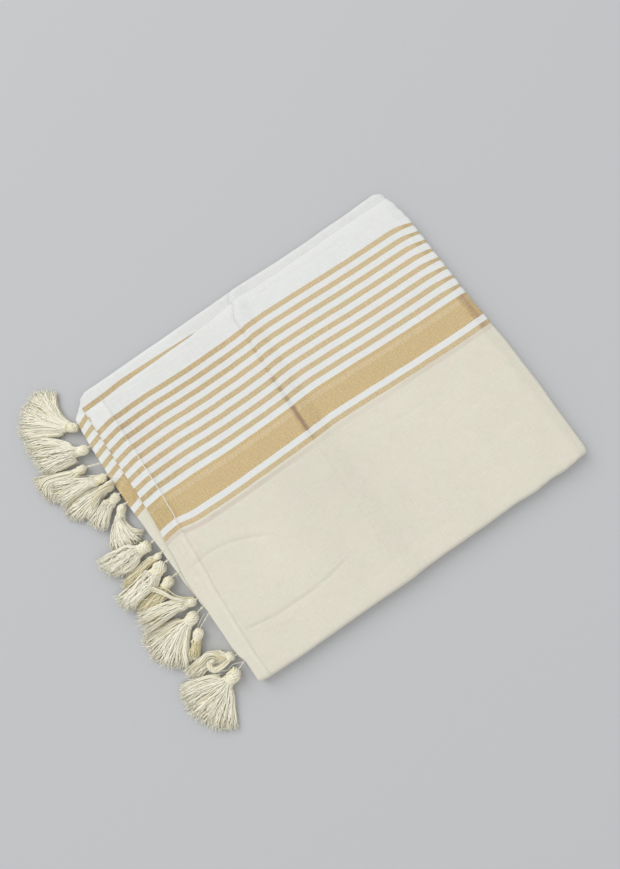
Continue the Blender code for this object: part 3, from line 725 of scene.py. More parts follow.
def top_wear_and_shade(x, y):
    """How much darker the gold yarns are: scuffed and painted with shade along the cross crease, painted with
    shade at the turned hem's edges and the right-hand fold, and darker inside the hem and on the left half.
    """
    past = x - crease_line(y)
    inner = x - follow(HEM_INNER_EDGE, y)
    half = np.where(y < 0.062, 0.0026, 0.0018)
    # Scuffed gold along the crease, with the crease's painted shade
    crease = ridge(past + 0.0003, half) * slope(y, -0.010, 0.012)
    crease *= listed(CREASE_WEAR_AND_SHADE, y)
    # The same on the last thin stripe at the crease
    last_stripe = 0.45 * bump(x + 0.0115, 0.0035) * bump(y + 0.004, 0.006)
    # Painted shade on the flank of the crease
    flank = 0.16 * slope(past, 0, 0.002) * slope(x, 0.0045, -0.001)
    # Painted shade where the gold turns over the right-hand fold
    fold = listed(FOLD_SHADE, y) * slope(x, 0.1545, 0.004) * (1 - 0.5 * slope(x, 0.1615, 0.003))
    # Painted shade beside the hem's inner edge, and on its rounded outer edge
    hem = 0.26 * slope(inner, 0, 0.0008) * np.exp(-np.maximum(inner, 0) / 0.0035)
    lip = 0.35 * slope(x, -0.1632, -0.0012)
    # Darker gold on the turned hem
    turned = 0.30 * slope(inner, 0, -0.0005) * np.maximum(slope(y, 0.045, -0.010), 0.3)
    worn_and_shaded = np.maximum.reduce([crease, last_stripe, flank, fold, hem, lip, turned])
    # Darker gold on the left half, more towards the hem
    left_gold_darkening = 0.10 + 0.18 * slope(y, 0.078, 0.012) + 0.18 * slope(x, -0.118, -0.010)
    left_gold_darkening *= listed(HEM_GOLD_DARKENING, x) * slope(x, -0.008, -0.030) * slope(y, 0.032, 0.002)
    return worn_and_shaded + left_gold_darkening


def top_painted_light_hem_band(x, y, dark):
    """Lightness of the cloth, which paints light and shade on it and makes the hem paler, then its hem, and
    how strong the faint band beside the border is.
    """
    inner = x - follow(HEM_INNER_EDGE, y)
    hem = before(inner, 0.0006)
    # Painted highlight along the ridge just inside the hem's edge
    hem_ridge = 0.030 * ridge(inner + 0.0024, 0.0014)
    # Painted shadow along the step at the hem's edge
    hem_line = 0.058 * ridge(inner - 0.0006, 0.0007) * np.maximum(slope(y, 0.123, -0.005), 0.15)
    # Painted shade along the cross crease
    crease = ridge(x - crease_line(y), 0.0011) * (0.020 + 0.050 * slope(y, 0.108, 0.008))
    # Painted light and shade over the cream: slow streaks, and a darker zone by the crease
    swell = 0.012 * np.sin(34 * (x + 0.8 * y)) * np.sin(11 * (x - y) + 0.7)
    swell += listed(CREAM_SHADE, x)
    swell *= slope(y, 0, -0.020) * slope(y, -0.140, 0.030)
    light = 0.030 * hem + hem_ridge - hem_line - crease - dark + swell
    mauve = 0.35 + 0.65 * slope(x, -0.010, -0.050)
    right = slope(x, 0.060, 0.030)
    return xyz(light, hem + 0.9 * right, mauve + 0.35 * right)


def top_border(x, y):
    """Cloth coordinates of the top layer, and the rib that its stripes make at the right-hand fold."""
    stray = path(NEAR_STRAY, x) * slope(y, NEAR_STRAY_REACH, -NEAR_STRAY_REACH)
    stray += path(RIGHT_BEND, x) * slope(y, 0, RIGHT_BEND_REACH)
    near_share = slope(y, 0.028, -0.024)
    bend = path(FAR_BEND, x) * (1 + 0.5 * slope(y, 0.030, 0.040)) * (1 - near_share)
    bend += path(NEAR_BEND, x) * near_share
    cloth = border_cloth(x, y, path(TOP_STRIPE, x) + stray + bend)
    across = cloth[..., 0]
    in_stripe = TURN * (across / MM - FIRST_STRIPE - STRIPE_WIDTH / 2) / STRIPE_PITCH
    striped = slope(across, 0.105, -0.003)
    cloth[..., 0] = across + 0.0008 * slope(x, 0.150, 0.012) * np.sin(in_stripe) * striped
    cloth[..., 2] = top_wear_and_shade(x, y)
    return cloth, np.cos(in_stripe) * striped


def make_top_cloth(material):
    flat_near = NEAR_Y + NEAR_FOLD_RADIUS
    flat_right = PACKET_X - RIGHT_FOLD_RADIUS
    flat_x = places(
        (-PACKET_X + TOP_HEM_RADIUS, HEM_INNER_X - 0.0017, 0.0012),
        (HEM_INNER_X - 0.0010, HEM_INNER_X + 0.0030, 0.0005),
        (HEM_INNER_X + 0.0045, CREASE_X - 0.0080, 0.0024),
        (CREASE_X - 0.0060, CREASE_X + 0.0060, 0.0006),
        (CREASE_X + 0.0080, flat_right, 0.0024))
    x_flat, right_turn = with_turns(flat_x, RIGHT_FOLD_TURN, 9)
    flat_y = places((SELVEDGE_Y, 0.127, 0.0010), (0.1255, flat_near, 0.0015))
    y_flat, near_turn = with_turns(flat_y, NEAR_FOLD_TURN, 14)
    x_flat, y_flat = np.meshgrid(x_flat, y_flat)
    right_turn, near_turn = np.meshgrid(right_turn, near_turn)
    x_reach, y_reach = np.sin(right_turn) ** RIGHT_FOLD_SQUARE, np.sin(near_turn) ** NEAR_FOLD_SQUARE
    corner = 1 - CORNER_ROUND * x_reach * x_reach * y_reach * y_reach
    x = x_flat + RIGHT_FOLD_RADIUS * x_reach * corner
    y = y_flat - NEAR_FOLD_RADIUS * y_reach * corner
    edges = TOP_LEFT_EDGE, TOP_RIGHT_EDGE, TOP_SELVEDGE, SELVEDGE_Y
    x_at, y_at = layer_place(x, y, *edges)
    y_at = y_at + drawn(NEAR_FOLD_EDGE, x, y, NEAR_Y, LONG_REACH)
    hem_x, _ = layer_place(HEM_INNER_X, y, *edges)
    from_hem = x_flat - HEM_INNER_X
    x_at = x_at + (follow(HEM_INNER_EDGE, y) - hem_x) * bump(from_hem, 0.014)

    creases, dark = soft_creases(x_at, y_at)
    rise = relief(x_at, y_at) + creases + fine_relief(x_at, y_at, TOP_SEED)
    rise += HEM_EXTRA * before(from_hem, 0.0004) - STITCH_DIP * bump(from_hem - 0.0008, 0.0016)
    rise += HEM_PUCKER * waves(x_at, y_at, 60, 260, 9.4) * bump(from_hem, 0.009)
    rise -= SELVEDGE_SINK * slope(y_flat, SELVEDGE_Y - 0.009, 0.009) ** 2
    rise *= flatness(near_turn) * flatness(right_turn)
    near_height = TOP_TOP - NEAR_FOLD_RADIUS * (1 - np.cos(near_turn))
    right_drop = RIGHT_FOLD_RADIUS * (1 - np.cos(right_turn)) * RIGHT_FOLD_DROP
    share = (near_height - FLOOR_GAP) / (TOP_TOP - FLOOR_GAP)
    points = xyz(x_at, y_at, near_height - right_drop * share + rise)
    edge_wave = EDGE_WAVE * waves(x_at, y_at, 35, 35, 5.5)
    points[..., 0] += edge_wave * (right_turn / RIGHT_FOLD_TURN)
    points[..., 1] += edge_wave * (near_turn / NEAR_FOLD_TURN)

    cloth, rib = top_border(x_at, y_at)
    points[..., 0] -= STRIPE_RIB * rib * x_reach
    under = int((flat_x < HEM_INNER_X).sum())
    painted_light_hem_band = top_painted_light_hem_band(x_at, y_at, dark)
    return make_cloth("top_cloth", points, cloth, painted_light_hem_band, TOP_HEM_RADIUS, under, material)


def make_second_cloth(material):
    flat_x = places(
        (-PACKET_X + INNER_HEM_RADIUS, -0.156, 0.0015), (-0.1535, CREASE_X - 0.0065, 0.0027),
        (CREASE_X - 0.005, CREASE_X + 0.005, 0.0010), (CREASE_X + 0.0065, PACKET_X, 0.0027))
    flat_y = places((-0.1370, 0.110, 0.011), (0.1145, FAR_Y - FAR_FOLD_RADIUS, 0.0016))
    y_flat, far_turn = with_turns(flat_y, FAR_FOLD_TURN, 8)
    x_flat, y_flat = np.meshgrid(flat_x, y_flat[::-1])
    far_turn = np.repeat(far_turn[::-1, None], len(flat_x), axis=1)
    y = y_flat + FAR_FOLD_RADIUS * np.sin(far_turn)
    x_at, y_at = layer_place(x_flat, y, SECOND_LEFT_EDGE, SECOND_RIGHT_EDGE, SECOND_FAR_EDGE, FAR_Y)
    rise = relief(x_at, y_at) + fine_relief(x_at, y_at, 13.7)
    drop = FAR_FOLD_RADIUS * (1 - np.cos(far_turn))
    points = xyz(x_at, y_at, SECOND_TOP - drop + rise * flatness(far_turn))
    points[..., 1] += FAR_WAVE * waves(x_at, y_at, 35, 35, 6.5) * far_turn
    cloth = border_cloth(x_at, y_at, path(SECOND_STRIPE, x_at))
    cloth[..., 0] -= np.maximum(0, FAR_FOLD_RADIUS * (far_turn - np.sin(far_turn)))
    cloth[..., 2] = listed(SECOND_GOLD_DARKENING, x_at)
    # Painted shade along the cross crease
    fold_line = 0.05 * ridge(x_at - crease_line(y_at) + 0.0010, 0.0016)
    painted_light_hem_band = xyz(-fold_line, 0, 0)
    return make_cloth("second_cloth", points, cloth, painted_light_hem_band, INNER_HEM_RADIUS, SECOND_HEM_COLUMNS, material)


def third_height(x, y):
    """Height of the third layer, which droops past the others."""
    past = np.maximum(0.0, THIRD_DROOP_START_X - x) / THIRD_DROOP_REACH
    return THIRD_TOP - THIRD_DROOP * past * past + relief(x, y)


def make_third_cloth(material):
    flat_x = places(
        (-PACKET_X + INNER_HEM_RADIUS, -0.148, 0.0011), (-0.143, CREASE_X - 0.012, 0.010),
        (CREASE_X - 0.005, CREASE_X + 0.005, 0.0025), (CREASE_X + 0.010, 0.1585, 0.010))
    x_flat, y = np.meshgrid(flat_x, along(0.1400, -0.1370, 0.0021))
    x = x_flat + drawn(THIRD_LEFT_EDGE, y, x_flat, -PACKET_X, RIGHT_REACH)
    x = x + drawn(CREASE_LINE, y, x_flat, CREASE_X, LONG_REACH)
    ripple = 0.0003 * waves(x, y, 40, 55, 2.2) * pull(x_flat, -PACKET_X, 0.02)
    points = xyz(x, y, third_height(x, y) + fine_relief(x, y, 23.7) + ripple)
    lean = 0.25 + 0.12 * slope(y, 0.110, 0.010)
    stripe_y = THIRD_STRIPE_Y + lean * np.clip(x + 0.170, -0.012, 0.012)
    cloth = border_cloth(x, y, y)
    across = cloth[..., 0] + (THIRD_STRIPE - 1) * STRIPE_PITCH * MM + (stripe_y - y) * THIRD_STRETCH
    cloth[..., 0] = np.maximum(across, THIRD_FIRST + (across - THIRD_FIRST) * 0.3)
    cloth[..., 2] = THIRD_GOLD_DARKENING
    # Painted shadow under the top layer's hem edge; the whole layer is made lighter by 0.04 too
    under_hem = ridge(x - follow(TOP_LEFT_EDGE, y) + 0.0003, 0.0009) * bump(y + 0.040, 0.055)
    painted_light_hem_band = xyz(0.04 - 0.42 * under_hem, 0, 0)
    return make_cloth("third_cloth", points, cloth, painted_light_hem_band, INNER_HEM_RADIUS, THIRD_HEM_COLUMNS, material)


# Fold edges of the hidden layers

EDGE_LEFT = -0.1634
EDGE_RIGHT = 0.1642
EDGE_FAR = 0.1464
EDGE_NEAR = -0.1398
EDGE_CORNER = 0.0070
EDGE_PLIES = 12
EDGE_TOP = 0.0083
PLY_REACH = 0.0009
PLY_DRIFT = 0.0009
PLY_SHAPE = (
    # share of the ply's height, share of its fold's reach
    (0.00, 0.00), (0.10, 0.55), (0.28, 0.90), (0.50, 1.00), (0.72, 0.90), (0.90, 0.55),
)


def edge_outline(step):
    """Points and outward directions round the packet."""
    corners = ((EDGE_RIGHT, EDGE_NEAR, -90), (EDGE_RIGHT, EDGE_FAR, 0),
               (EDGE_LEFT, EDGE_FAR, 90), (EDGE_LEFT, EDGE_NEAR, 180))
    arcs = []
    for x, y, start in corners:
        turn = np.radians(np.linspace(start, start + 90, 9))
        out = np.stack([np.cos(turn), np.sin(turn)], axis=-1)
        centre = np.array([x - math.copysign(EDGE_CORNER, x), y - math.copysign(EDGE_CORNER, y)])
        arcs.append((centre + EDGE_CORNER * out, out))
    round_it, ways = [], []
    for (arc, out), (after, _) in zip(arcs, arcs[1:] + arcs[:1]):
        count = int(np.linalg.norm(after[0] - arc[-1]) / step)
        share = np.linspace(0, 1, count + 1)[1:-1, None]
        round_it += [arc, arc[-1] + (after[0] - arc[-1]) * share]
        ways += [out, np.repeat(out[-1:], count - 1, axis=0)]
    return np.concatenate(round_it), np.concatenate(ways)


def make_fold_edges(material):
    """The sides of the hidden layers: rolled plies, each a little in or out of line, under one flat top."""
    place, out = edge_outline(0.0040)
    x, y = place.T
    away = 1 - np.maximum(0, -out[:, 1])
    x_at = x + drawn(TOP_RIGHT_EDGE, y, x, PACKET_X, RIGHT_REACH)
    x_at = x_at + drawn(TOP_LEFT_EDGE, y, x, -PACKET_X, LEFT_REACH)
    y_at = y + drawn(NEAR_FOLD_EDGE, x, y, NEAR_Y, LONG_REACH)
    y_at = y_at + drawn(SECOND_FAR_EDGE, x, y, FAR_Y, LONG_REACH)
    thick = RNG.uniform(0.7, 1.3, EDGE_PLIES)
    base = np.concatenate([[0], np.cumsum(thick)]) / thick.sum() * EDGE_TOP
    along_it = np.where(np.abs(out[:, 0]) > 0.7, y, x)
    rings, cloths = [], []
    for k in range(EDGE_PLIES):
        drift = PLY_DRIFT * (1 + waves(x, y, 14, 14, 31.7 + 1.9 * k)) + RNG.uniform(-0.0004, 0.0004)
        wave = 0.00012 * waves(x, y, 60, 60, 71.7 + 3.3 * k) * min(1, k)
        foot = 0.0012 * max(0.0, 1 - k / 2.5)
        across = STRIPE_ONE + 0.108 + RNG.uniform(-0.010, 0.010) - y
        for high, wide in PLY_SHAPE if k else PLY_SHAPE[1:]:
            inset = (drift + foot + PLY_REACH * (1 - wide)) * away
            height = np.clip(base[k] + (base[k + 1] - base[k]) * high + wave, LOWEST, EDGE_TOP)
            rings.append(xyz(x_at - out[:, 0] * inset, y_at - out[:, 1] * inset, height))
            cloths.append(xyz(across, along_it, 0))
    rings = np.array(rings)
    piece = link_mesh("fold_edges", rings, ring_faces(*rings.shape[:2]), material, {"cloth": cloths})
    piece.data.set_sharp_from_angle(angle=math.radians(75))
    return piece


# Yarns

class Yarns:
    """Collects tubes of yarn and makes them one mesh."""

    def __init__(self):
        self.points, self.faces, self.marks, self.total = [], [], [], 0

    def keep(self, points, faces, marks):
        self.points.append(points.reshape(-1, 3))
        self.faces += faces
        self.marks.append(marks.reshape(-1, 3))
        self.total += len(self.points[-1])

    def add(self, paths, radii, sides=4, tone=None):
        """Tubes: paths is yarns x steps x 3, radii is yarns x steps, and tones are drawn if none is given."""
        paths = np.asarray(paths, float)
        radii = np.broadcast_to(radii, paths.shape[:2])
        count, steps = paths.shape[:2]
        ahead = unit(np.gradient(paths, axis=1))
        side = unit(np.cross(np.array([0.02, 0.01, 1.0]), ahead))
        up = np.cross(ahead, side)
        turn = np.arange(sides) * TURN / sides + math.pi / sides
        ring = around(side[:, :, None], up[:, :, None], turn)
        points = paths[:, :, None] + ring * radii[:, :, None, None]
        points[..., 2] = np.maximum(points[..., 2], LOWEST)
        runs = np.linalg.norm(np.diff(paths, axis=1), axis=-1)
        length = np.concatenate([np.zeros((count, 1)), np.cumsum(runs, axis=1)], axis=1)
        tone = RNG.random(count) if tone is None else np.zeros(count) + tone
        marks = np.zeros(points.shape)
        marks[..., 0] = length[:, :, None]
        marks[..., 1] = turn
        marks[..., 2] = tone[:, None, None]
        number = np.arange(count * steps * sides).reshape(count, steps, sides) + self.total
        after = np.roll(number, -1, axis=2)
        quads = np.stack([number[:, :-1], after[:, :-1], after[:, 1:], number[:, 1:]], axis=-1).reshape(-1, 4)
        self.keep(points, quads.tolist() + number[:, 0, ::-1].tolist() + number[:, -1].tolist(), marks)

    def add_solid(self, rings):
        """A closed loft of rings, each rings x sides x 3."""
        # Its tone of 0.2 is a dark one: painted shade on the core
        self.keep(rings, ring_faces(*rings.shape[:2], self.total), np.zeros(rings.shape) + (0, 0, 0.2))

    def make(self, name, material):
        points, marks = np.concatenate(self.points), np.concatenate(self.marks)
        return link_mesh(name, points, self.faces, material, {"yarn": marks})


def flat_way(turn):
    return xyz(np.cos(turn), np.sin(turn), 0)


def curve(points, count):
    """A smooth run of points through a few given ones."""
    points = np.asarray(points, float)
    at = np.linspace(0, len(points) - 1, count)
    i = np.clip(at.astype(int), 0, len(points) - 2)
    t = (at - i)[:, None]
    padded = np.concatenate([2 * points[:1] - points[1:2], points, 2 * points[-1:] - points[-2:-1]])
    a, b, c, d = (padded[i + k] for k in range(4))
    square, cube = 2 * a - 5 * b + 4 * c - d, 3 * b - a - 3 * c + d
    return 0.5 * (2 * b + (c - a) * t + square * t * t + cube * t ** 3)


SKIRT_STEPS = 15
SKIRT_DEPTH = 3.1
UNDER_DEPTH = 2.0
LEAST_YARNS = 12
HEAD_YARNS = 15
HEAD_TWIST = 0.9
YARN_RADIUS = 0.00048
TIE_RADIUS = 0.00032
LOCK_WIDTH = 0.0058
YARN_SWAY = 0.0009
YARN_RANK = 0.0020
YARN_FLOOR = 0.0006
HAIR_FLOOR = 0.0005


def skirt_guides(strands, radius, head, ahead, side, neck):
    """Guide strands of the skirt from the neck to the tips: strands x steps x 2."""
    start = (head + ahead * radius * 0.75)[:2]
    wide = np.dot(strands[0, 0] - strands[-1, 0], side[:2])
    spots = np.linspace(1, -1, len(strands)) * math.copysign(radius * neck, wide)
    spread = min(1.3, (0.5 * abs(wide) + 0.2 * radius) / (radius * neck))
    guides = []
    for strand, spot in zip(strands, spots):
        root = start + side[:2] * spot
        first = start + ahead[:2] * radius * 0.7 + side[:2] * spot * spread
        guides.append(curve(np.concatenate([[root, first], strand]), 41))
    return np.array(guides)


def tip_width(guides):
    return np.linalg.norm(np.diff(guides[:, -1], axis=0), axis=1).sum()


def between(guides, place, steps):
    """Points between the guide strands, at a share across them and a share along them."""
    at = steps * (guides.shape[1] - 1)
    low = np.minimum(at.astype(int), guides.shape[1] - 2)
    part = (at - low)[..., None]
    spots = len(guides) - 1
    near = np.clip((place * spots).astype(int), 0, spots - 1)
    mix = (place * spots - near)[..., None]
    first = guides[near, low] * (1 - part) + guides[near, low + 1] * part
    second = guides[near + 1, low] * (1 - part) + guides[near + 1, low + 1] * part
    return first * (1 - mix) + second * mix


def skirt_paths(guides, head, radius, over, count, draw, low, high):
    """Yarns between the guide strands, drawn together into locks halfway down, and each yarn's level."""
    share = np.linspace(0, 1, SKIRT_STEPS + 1)
    width = tip_width(guides)
    across = np.linspace(0.01, 0.99, count) + RNG.uniform(-0.4, 0.4, count) / count
    locks = max(4, round(width / LOCK_WIDTH))
    sizes = np.cumsum(RNG.uniform(0.35, 1.6, locks))
    centres = (sizes - sizes[0] * 0.5) / sizes[-1]
    own = np.clip(np.searchsorted((centres[1:] + centres[:-1]) / 2, across), 0, locks - 1)
    pull_in = np.interp(share, (0, 0.25, 0.65, 0.9, 1), (0, 0.70, 1.0, 1.0, 1.5)) * draw
    phase = RNG.uniform(0, TURN, (count, 2))
    lock_phase = RNG.uniform(0, TURN, locks)[own, None]
    lock_sway = RNG.normal(0, YARN_SWAY, locks)[own, None] / width
    yarn_sway = RNG.normal(0, YARN_SWAY, (count, 2)) / width
    rank = RNG.normal(0, YARN_RANK, count)[:, None] / width
    grow = np.minimum(1, share * 2.2)
    place = across[:, None] + (centres[own] - across)[:, None] * pull_in
    place += lock_sway * np.sin(4.5 * share + lock_phase) * grow + rank * share
    place += yarn_sway[:, :1] * np.sin(8 * share + phase[:, :1]) * grow
    place += yarn_sway[:, 1:] * np.sin(21 * share + phase[:, 1:]) * grow
    place += yarn_sway[:, :1] * np.sin(37 * share + phase[:, 1:]) * grow * 0.35
    long = RNG.normal(0.960, 0.013, count) + RNG.normal(0, 0.022, locks)[own]
    steps = np.clip(share[None, :] * np.clip(long, 0.87, 0.985)[:, None], 0, 1)
    flat = between(guides, np.clip(place, 0, 1), steps)

    level = low + (high - low) * (0.66 * RNG.uniform(0, 1, count) + 0.34 * RNG.uniform(0, 1, locks)[own])
    edge = np.sqrt(np.maximum(0.30, 1 - (2 * across - 1) ** 4))
    root = head[2] + (level * 2 - 1) * radius * 0.70 * edge
    thick = np.interp(share, (0, 0.3, 0.7, 1), (0.0078, 0.0078, 0.0064, 0.0050))
    laid = 0.0007 + level[:, None] * thick * edge[:, None] + LAY_OVER * over * (1 - 0.30 * share ** 2)
    down = np.interp(share, (0, 0.08, 0.30, 1), (0, 0.15, 0.85, 1))
    height = root[:, None] * (1 - down) + laid * down
    height += (0.0004 * np.sin(7 * share + lock_phase) + 0.0008 * share * share) * grow
    height = np.maximum(height + 0.00015 * np.sin(23 * share + phase[:, 1:]), YARN_FLOOR)
    return np.concatenate([flat, height[..., None]], axis=-1), level


def add_hairs(yarns, start, middle, end, radii):
    hairs = np.stack([start, middle, end], axis=1)
    hairs[..., 2] = np.maximum(hairs[..., 2], HAIR_FLOOR)
    yarns.add(hairs, np.array([radii]) * MM, 3, 1.0)


def add_fray(yarns, paths, tufts):
    """Fine fibres at the yarns' ends and a few along them."""
    count = len(paths)
    ends, way = paths[:, -1], unit(paths[:, -1] - paths[:, -2])
    for _ in range(tufts):
        out = unit(way + RNG.normal(0, 0.33, (count, 3)) * (1, 1, 0.5))
        run = out * RNG.uniform(0.0012, 0.0032, count)[:, None]
        bend = RNG.normal(0, 0.0006, (count, 3)) * (1, 1, 0.3)
        middle, tip = ends + run * 0.5 + bend, ends + run + bend * 2.2
        add_hairs(yarns, ends - way * 0.0012, middle, tip, (0.36, 0.28, 0.12))
    for _ in range(2):
        step = RNG.integers(3, paths.shape[1] - 2, count)
        start = paths[np.arange(count), step]
        ahead = unit(paths[np.arange(count), step + 1] - start)
        out = unit(ahead + RNG.normal(0, 0.30, (count, 3)))
        run = out * RNG.uniform(0.002, 0.005, count)[:, None]
        add_hairs(yarns, start, start + run * 0.5, start + run + ahead * 0.0008, (0.16, 0.12, 0.06))


def bundle(points, count, radius, twist):
    """Yarns that run together along a curve, each with a sway of its own."""
    core = curve(np.array(points) * MM, SKIRT_STEPS + 1)
    ahead = unit(np.gradient(core, axis=0))
    side = unit(np.cross(np.array([0, 0, 1.0]), ahead))
    up = np.cross(ahead, side)
    share = np.linspace(0, 1, SKIRT_STEPS + 1)
    turn = RNG.uniform(0, TURN, count)[:, None] + twist * share
    sway = 1 + 0.25 * np.sin(8 * share[None, :] + RNG.uniform(0, TURN, (count, 1)))
    reach = radius * np.sqrt(RNG.uniform(0, 1, count))[:, None] * (0.85 + 0.3 * share) * sway
    paths = core + reach[..., None] * around(side, up, turn)
    paths[..., 2] = np.maximum(paths[..., 2], YARN_FLOOR)
    return paths


def make_head(yarns, head, ways, radius, knob, neck):
    """A tassel's head: a core, and yarns drawn lengthwise over it to the neck."""
    ahead, side, up = ways
    at = np.linspace(-0.97, 1.04, 13)
    spots = (-0.97, -0.85, -0.62, -0.30, 0.00, 0.32, 0.60, 0.85, 1.05)
    shares = [knob * share for share in (0.22, 0.56, 0.82, 0.97, 1.0, 0.95)] + [(knob + neck) / 2, neck, neck]
    outline = np.interp(at, spots, shares)
    lump = RNG.uniform(0, TURN, 2)
    # The inner yarns take dark tones, painted shade under the outer ones
    for strands, thick, inset, low, high in ((11, 0.22, 0.22, 0.1, 0.3), (HEAD_YARNS, 0.15, 0.13, 0.25, 0.9)):
        start = np.linspace(0, TURN, strands, endpoint=False) + RNG.uniform(-0.14, 0.14, strands)
        turn = start[:, None] + HEAD_TWIST * at[None, :] + RNG.normal(0, 0.07, (strands, 1)) * at[None, :]
        swell = 1 + RNG.normal(0, 0.07, (strands, 1)) * np.cos(1.6 * at)[None, :]
        swell += 0.05 * np.cos(2 * turn + lump[0]) + 0.04 * np.cos(3 * turn + 2 * at + lump[1])
        reach = radius * ((outline - inset) * swell)[..., None]
        paths = head + ahead * radius * at[None, :, None] + reach * around(side, up, turn)
        yarns.add(paths, radius * thick, 6, RNG.uniform(low, high, strands))
    ring = around(side, up, np.linspace(0, TURN, 16, endpoint=False))
    core = np.maximum(outline - 0.20, 0.02)
    yarns.add_solid(np.array([head + radius * (ahead * a + ring * wide) for a, wide in zip(at, core)]))


def wind_band(yarns, head, ways, radius, knob, tilt, strands):
    """Yarns side by side that are wound slantwise round a head."""
    ahead, side, up = ways
    tilt = math.radians(tilt)
    spin = RNG.normal(0, 0.35)
    normal = ahead * math.cos(tilt) + (side * math.cos(spin) + up * math.sin(spin)) * math.sin(tilt)
    first = unit(np.cross(normal, up + 0.1 * side))
    second = np.cross(normal, first)
    offset = (np.arange(strands) - (strands - 1) / 2) * 0.31 + RNG.uniform(-0.25, 0.1)
    offset = np.clip(offset, -0.8, 0.8)[:, None]
    turn = np.linspace(0, TURN, 22)[None, :]
    lumps = 1 + 0.05 * np.sin(2 * turn + RNG.uniform(0, 6))
    lumps = lumps + 0.03 * np.sin(5 * turn + RNG.uniform(0, 6, (strands, 1)))
    reach = (radius * (knob + 0.03) * np.sqrt(1 - offset ** 2) * lumps)[..., None]
    middle = head - ahead * radius * 0.10 + normal * radius * offset[..., None]
    yarns.add(middle + reach * around(first, second, turn), radius * 0.14, 6, RNG.uniform(0.3, 1.0, strands))


def tie_to_hem(yarns, head, ahead, radius, hem_y):
    """Two twisted threads from the hem to a tassel's head, and their knot."""
    neck = head - ahead * radius * 0.95
    edge_x = float(follow(THIRD_LEFT_EDGE, hem_y))
    edge_z = float(third_height(edge_x, hem_y))
    hem_top = np.array([edge_x + 0.0026, hem_y, edge_z + 0.0003])
    hem_lip = np.array([edge_x - 0.0004, hem_y, edge_z + 0.0001])
    middle = (hem_lip + neck) / 2 + np.array([0, 0.0004, -0.0004])
    core = curve([hem_top, hem_lip, middle, neck, neck + ahead * 0.0015], 22)
    turn = np.linspace(0, 3.2 * TURN, 22)
    for half in (0, math.pi):
        twist = xyz(0.3 * np.cos(turn + half), np.cos(turn + half), np.sin(turn + half))
        yarns.add((core + twist * 0.00030)[None], TIE_RADIUS, 4, 0.85)
    turn = np.linspace(0, 2.6 * TURN, 34)
    knot = xyz(0.0007 * np.cos(turn * 0.5), 0.0009 * np.cos(turn), 0.0009 * np.sin(turn))
    yarns.add((hem_lip + np.array([-0.0009, 0, -0.0001]) + knot)[None], TIE_RADIUS, 4, 0.85)


def make_tassel(number, row, material):
    *sizes, over, strands = row
    hem_y, head_x, head_y, radius = (size * MM for size in sizes)
    strands = np.array(strands).reshape(-1, 3, 2) * MM
    head = np.array([head_x, head_y, HEAD_FLOOR_GAP + radius])
    middle = strands[:, 0].mean(axis=0)
    angle = math.atan2(middle[1] - head_y, middle[0] - head_x)
    ahead, side, up = ways = flat_way(angle), flat_way(angle + math.pi / 2), np.array([0, 0, 1.0])
    knob, neck, slant, bands, painted_shade = HEAD_FORMS[number - 1]
    yarns = Yarns()
    make_head(yarns, head, ways, radius, knob, neck)
    for tilt in (slant, -slant - 12):
        wind_band(yarns, head, ways, radius, knob, tilt, bands)
    wrap = head + ahead * (radius * np.linspace(0.86, 1.0, 40))[:, None]
    wrap = wrap + radius * (neck + 0.03) * around(side, up, np.linspace(0, 2.5 * TURN, 40))
    yarns.add(wrap[None], TIE_RADIUS, 5, 0.55)

    guides = skirt_guides(strands, radius, head, ahead, side, neck)
    taper = np.interp(np.linspace(0, 1, SKIRT_STEPS + 1), (0, 0.85, 1), (1, 1, 0.6))
    for depth, draw, low, high in ((UNDER_DEPTH, 0.1, 0.0, 0.4), (SKIRT_DEPTH, 0.30, 0.2, 1.0)):
        count = int(depth * tip_width(guides) / (2 * YARN_RADIUS)) + LEAST_YARNS
        paths, level = skirt_paths(guides, head, radius, over, count, draw, low, high)
        radii = YARN_RADIUS * RNG.uniform(0.85, 1.2, count)[:, None] * taper
        # Lower yarns take darker tones, painted shade under the skirt, and some tassels take more; the rest
        # of the tone is random
        yarns.add(paths, radii, 4, np.clip(level - painted_shade + RNG.normal(0, 0.15, count), 0, 1))
        add_fray(yarns, paths, 1)
    for tassel, size, wide, twist, points in LOOSE_LOCKS:
        if tassel == number:
            lock = bundle(points, size, wide * MM, twist)
            yarns.add(lock, YARN_RADIUS, 4)
            add_fray(yarns, lock, 2)
    tie_to_hem(yarns, head, ahead, radius, hem_y)
    return yarns.make(f"tassel_yarns_{number:02d}", material)


STITCH_START_Y = 0.1335
STITCH_INSET = 0.0009
STITCH_LENGTH = 0.0026
STITCH_GAP = 0.0009
STITCH_ARCH = (-0.0004, -0.00003, 0.00004, -0.00003, -0.0004)
WHITE_STITCHES = (0.004, 0.076)


def make_stitches(material):
    """The hem's running stitch: long white stitches over the gold border, small ones elsewhere."""
    yarns = Yarns()
    y = STITCH_START_Y
    while y > NEAR_Y + 0.004:
        ys = np.linspace(y, y - STITCH_LENGTH, len(STITCH_ARCH))
        white = WHITE_STITCHES[0] < y < WHITE_STITCHES[1]
        xs = follow(HEM_INNER_EDGE, ys) - STITCH_INSET + RNG.uniform(-0.0001, 0.0001)
        height = TOP_TOP + HEM_EXTRA + relief(xs, ys) + fine_relief(xs, ys, TOP_SEED) + 0.00006
        stitch = xyz(xs, ys, height + np.array(STITCH_ARCH))
        yarns.add(stitch[None], 0.00046 if white else 0.00020, 5, 1.0 if white else 0.5)
        y -= STITCH_LENGTH + (0.1 * STITCH_GAP if white else STITCH_GAP)
    return yarns.make("hem_stitches", material)


